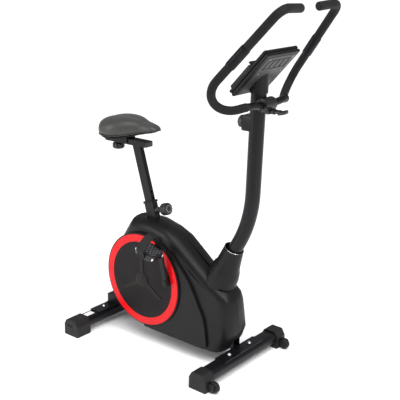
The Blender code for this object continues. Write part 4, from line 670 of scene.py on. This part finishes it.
def buildTrim():
    # the boot's lip, a painted highlight along the boot's rim; the seat knob's ring, the covers' hubs and
    # the label
    b, k, d = bootLipShape, knobRingShape, coverHubShape
    # the bright lip is a painted highlight round the boot's rim
    lip = lathe(b["profile"], Vector(b["rim"]), leaning(b["lean"]), b["sides"])
    addPiece("bootLipHighlight", lip, ringMetalAndLipHighlight, "frame")
    seatAxis = leaning(90 - k["rise"])
    tip = max((Vector(v.co) for v in nodes["seat_knob"].data.vertices), key=lambda p: p.dot(seatAxis))
    base = Vector(k["base"])
    face = base + seatAxis * (tip - base).dot(seatAxis)
    addPiece("seatKnobRing", lathe(k["profile"], face, seatAxis), ringMetalAndLipHighlight, "seat_knob")
    dome = [(d["hole"], d["crown"])] + [(d["radius"] * share, height) for share, height in d["dome"]]
    dome.append((d["hole"], d["root"]))
    for sign, side in ((-1, "right"), (1, "left")):
        place = Vector((d["centreX"], sign * d["face"], d["centreZ"]))
        hub = lathe(dome, place, (0, sign, 0), d["sides"])
        addPiece("coverHub_" + side, hub, discAbs, "frame")
    label = roundBox(labelShape["size"], labelShape["centre"], None, labelShape["rounding"], 1)
    addPiece("blankLabel", label, labelFilm, "frame")


buildTrim()
print("trim ready")

consoleShape = {
    "centre": (0.307, 0, 1.133), "tilt": 46.2, "half": 0.013,
    "plate": (0.180, 0.164, 0.0016), "plateOut": 0.0004, "plateRounding": 0.0007,
    "longRib": (0.040, 0.0022, 0.0026), "longUp": 0.052, "longAcross": (-0.060, -0.030, 0, 0.030, 0.060),
    "crossRib": (0.0022, 0.130, 0.0026), "crossUp": (0.031, 0.073), "ribOut": 0.0018, "ribRounding": 0.0008,
    "screwUp": (-0.070, 0.010, 0.080), "screwAcross": (-0.064, 0.064), "screwOut": 0.0012, "screwSides": 16,
    "screw": ((0.0012, 0.0002), (0.0030, 0.0002), (0.0034, 0.0012), (0.0022, 0.0016), (0.0012, 0.0010)),
}
displayShape = {
    "up": -0.022, "face": 0.0273,
    # the bezel's sides: height and offset of the middle, height, width
    "bezel": (
        (0.026, 0, 0.004, 0.106), (-0.026, 0, 0.004, 0.106),
        (0, 0.051, 0.048, 0.004), (0, -0.051, 0.048, 0.004),
    ),
    "bezelDepth": 0.0016, "bezelProud": 0.0004, "bezelRounding": 0.0006,
    # the rows of digits: height of the middle, height, how many, pitch
    "rows": ((0.011, 0.010, 5, 0.017), (-0.009, 0.014, 4, 0.021)),
    "stroke": 0.0009, "strokeLength": 0.0062, "strokeGap": 0.0012, "digitHalf": 0.0036,
    "inkDepth": 0.0003, "inkSunk": 0.0004, "inkRounding": 0.0001,
}
dialShape = {
    "centreZ": 0.950, "radius": 0.0165, "marks": 8, "start": -120, "sweep": 240, "proud": 0.0001,
    "depth": 0.0006, "width": 0.0018, "shortest": 0.0018, "longer": 0.0006, "rounding": 0.0002,
}


def buildConsole():
    c, d, k = consoleShape, displayShape, dialShape
    turn = Matrix.Rotation(-math.radians(c["tilt"]), 3, "Y")

    def onConsole(up, across, out):
        return Vector(c["centre"]) + turn @ Vector((up, across, out))

    plate = roundBox(c["plate"], onConsole(0, 0, -c["half"] - c["plateOut"]), turn, c["plateRounding"])
    addPiece("consoleBackPlate", plate, consoleAbs, "frame")
    ribs = [(c["longRib"], c["longUp"], across) for across in c["longAcross"]]
    ribs += [(c["crossRib"], up, 0) for up in c["crossUp"]]
    bars = []
    for size, up, across in ribs:
        bars.append(roundBox(size, onConsole(up, across, -c["half"] - c["ribOut"]), turn, c["ribRounding"]))
    addPiece("consoleRibs", merge(bars), consoleAbs, "frame")
    screws = []
    axis = turn @ Vector((0, 0, -1))
    for up in c["screwUp"]:
        for across in c["screwAcross"]:
            place = onConsole(up, across, -c["half"] - c["screwOut"])
            screws.append(lathe(c["screw"], place, axis, c["screwSides"]))
    addPiece("consoleScrews", merge(screws), zincPlate, "frame")
    # display: a dark bezel and a few plain segment bars on the window
    bezel = []
    for up, across, tall, wide in d["bezel"]:
        place = onConsole(d["up"] + up, across, d["face"] + d["bezelProud"])
        bezel.append(roundBox((tall, wide, d["bezelDepth"]), place, turn, d["bezelRounding"]))
    addPiece("displayBezel", merge(bezel), casingAbs, "frame")
    bars = []
    for up, tall, digits, pitch in d["rows"]:
        level = (d["stroke"], d["strokeLength"], d["inkDepth"])
        upright = (tall / 2 - d["strokeGap"], d["stroke"], d["inkDepth"])
        strokes = [(level, end * tall / 2, 0) for end in (-1, 0, 1)]
        strokes += [(upright, end * tall / 4, side * d["digitHalf"]) for side in (-1, 1) for end in (-1, 1)]
        for digit in range(digits):
            across = (digit - (digits - 1) / 2) * pitch
            for size, rise, aside in strokes:
                place = onConsole(d["up"] + up + rise, across + aside, d["face"] - d["inkSunk"])
                bars.append(roundBox(size, place, turn, d["inkRounding"], 1))
    addPiece("displaySegments", merge(bars), inkBlack, "frame")
    # marks round the tension dial, each longer than the one before
    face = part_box("tension_knob")[0].x - k["proud"]
    marks = []
    for i in range(k["marks"]):
        a = math.radians(k["start"] + i * k["sweep"] / (k["marks"] - 1))
        place = (face, k["radius"] * math.sin(a), k["centreZ"] + k["radius"] * math.cos(a))
        size = (k["depth"], k["width"], k["shortest"] + k["longer"] * i)
        marks.append(roundBox(size, place, Matrix.Rotation(-a, 3, "X"), k["rounding"], 1))
    addPiece("dialMarks", merge(marks), labelFilm, "tension_knob")


buildConsole()
print("console ready")

lightSet = {
    "backdrop": "#ffffff", "fill": "#f6f7fa", "fillStrength": 0.36, "sunPower": 2.9, "sunSpread": 55.0,
    "sunPlace": (0.9, -0.7, 2.6), "floorSize": 60,
    "lights": (
        ("keySoftbox", (2.6, -0.2, 2.0), (0, 0, 0.6), (0.7, 2.0), 42),
        ("rimSoftbox", (-1.6, -2.4, 1.6), (0, 0, 0.5), (0.5, 1.8), 34),
    ),
}


def buildStudio():
    shape = bmesh.new()
    bmesh.ops.create_grid(shape, x_segments=1, y_segments=1, size=lightSet["floorSize"])
    mesh = bpy.data.meshes.new("studioFloor")
    shape.to_mesh(mesh)
    shape.free()
    floor = bpy.data.objects.new("studioFloor", mesh)
    bpy.context.scene.collection.objects.link(floor)
    paper = makeFinish("matteBackdropPaper", {
        "colour": "#fbfbfb", "shade": "#f7f7f7", "roughness": (0.85, 0.95), "grain": "noise", "grainMm": 3.0,
        "depthMm": 0.01, "driftMm": 400, "shader": {"IOR": 1.3, "Specular IOR Level": 0.2},
    })
    mesh.materials.append(paper)
    world = bpy.data.worlds.new("studio")
    world.use_nodes = True
    tree = world.node_tree
    backdrop = tree.nodes["Background"]
    backdrop.inputs[0].default_value = linear(lightSet["backdrop"])
    glow = {"Color": linear(lightSet["fill"]), "Strength": lightSet["fillStrength"]}
    fill = addNode(tree, "Background", glow)
    seen = addNode(tree, "LightPath").outputs["Is Camera Ray"]
    both = addNode(tree, "MixShader", {0: seen, 1: fill.outputs[0], 2: backdrop.outputs[0]})
    tree.links.new(both.outputs[0], tree.nodes["World Output"].inputs[0])
    bpy.context.scene.world = world
    bpy.context.scene.view_settings.view_transform = "Standard"
    sunData = bpy.data.lights.new("broadSun", "SUN")
    sunData.energy = lightSet["sunPower"]
    sunData.angle = math.radians(lightSet["sunSpread"])
    sun = bpy.data.objects.new("broadSun", sunData)
    sun.rotation_euler = Vector(lightSet["sunPlace"]).to_track_quat("Z", "Y").to_euler()
    bpy.context.scene.collection.objects.link(sun)
    for name, place, aim, size, power in lightSet["lights"]:
        data = bpy.data.lights.new(name, "AREA")
        data.shape = "RECTANGLE"
        data.size, data.size_y = size
        data.energy = power
        light = bpy.data.objects.new(name, data)
        light.location = place
        light.rotation_euler = (Vector(aim) - Vector(place)).to_track_quat("-Z", "Y").to_euler()
        bpy.context.scene.collection.objects.link(light)


viewpoint = {
    "azimuth": 39.9, "elevation": 17.4, "place": (1.891, -2.233, 1.535), "lens": 73.2, "sensor": 36.0,
}


def buildCamera():
    a, e = math.radians(viewpoint["azimuth"]), math.radians(viewpoint["elevation"])
    ahead = Vector((-math.sin(a) * math.cos(e), math.cos(a) * math.cos(e), -math.sin(e)))
    right = Vector((math.cos(a), math.sin(a), 0))
    up = right.cross(ahead)
    data = bpy.data.cameras.new("camera")
    data.lens = viewpoint["lens"]
    data.sensor_width = viewpoint["sensor"]
    camera = bpy.data.objects.new("camera", data)
    turn = Matrix((right, up, -ahead)).transposed().to_4x4()
    camera.matrix_world = Matrix.Translation(viewpoint["place"]) @ turn
    bpy.context.scene.collection.objects.link(camera)
    bpy.context.scene.camera = camera


buildStudio()
buildCamera()
print("studio ready")
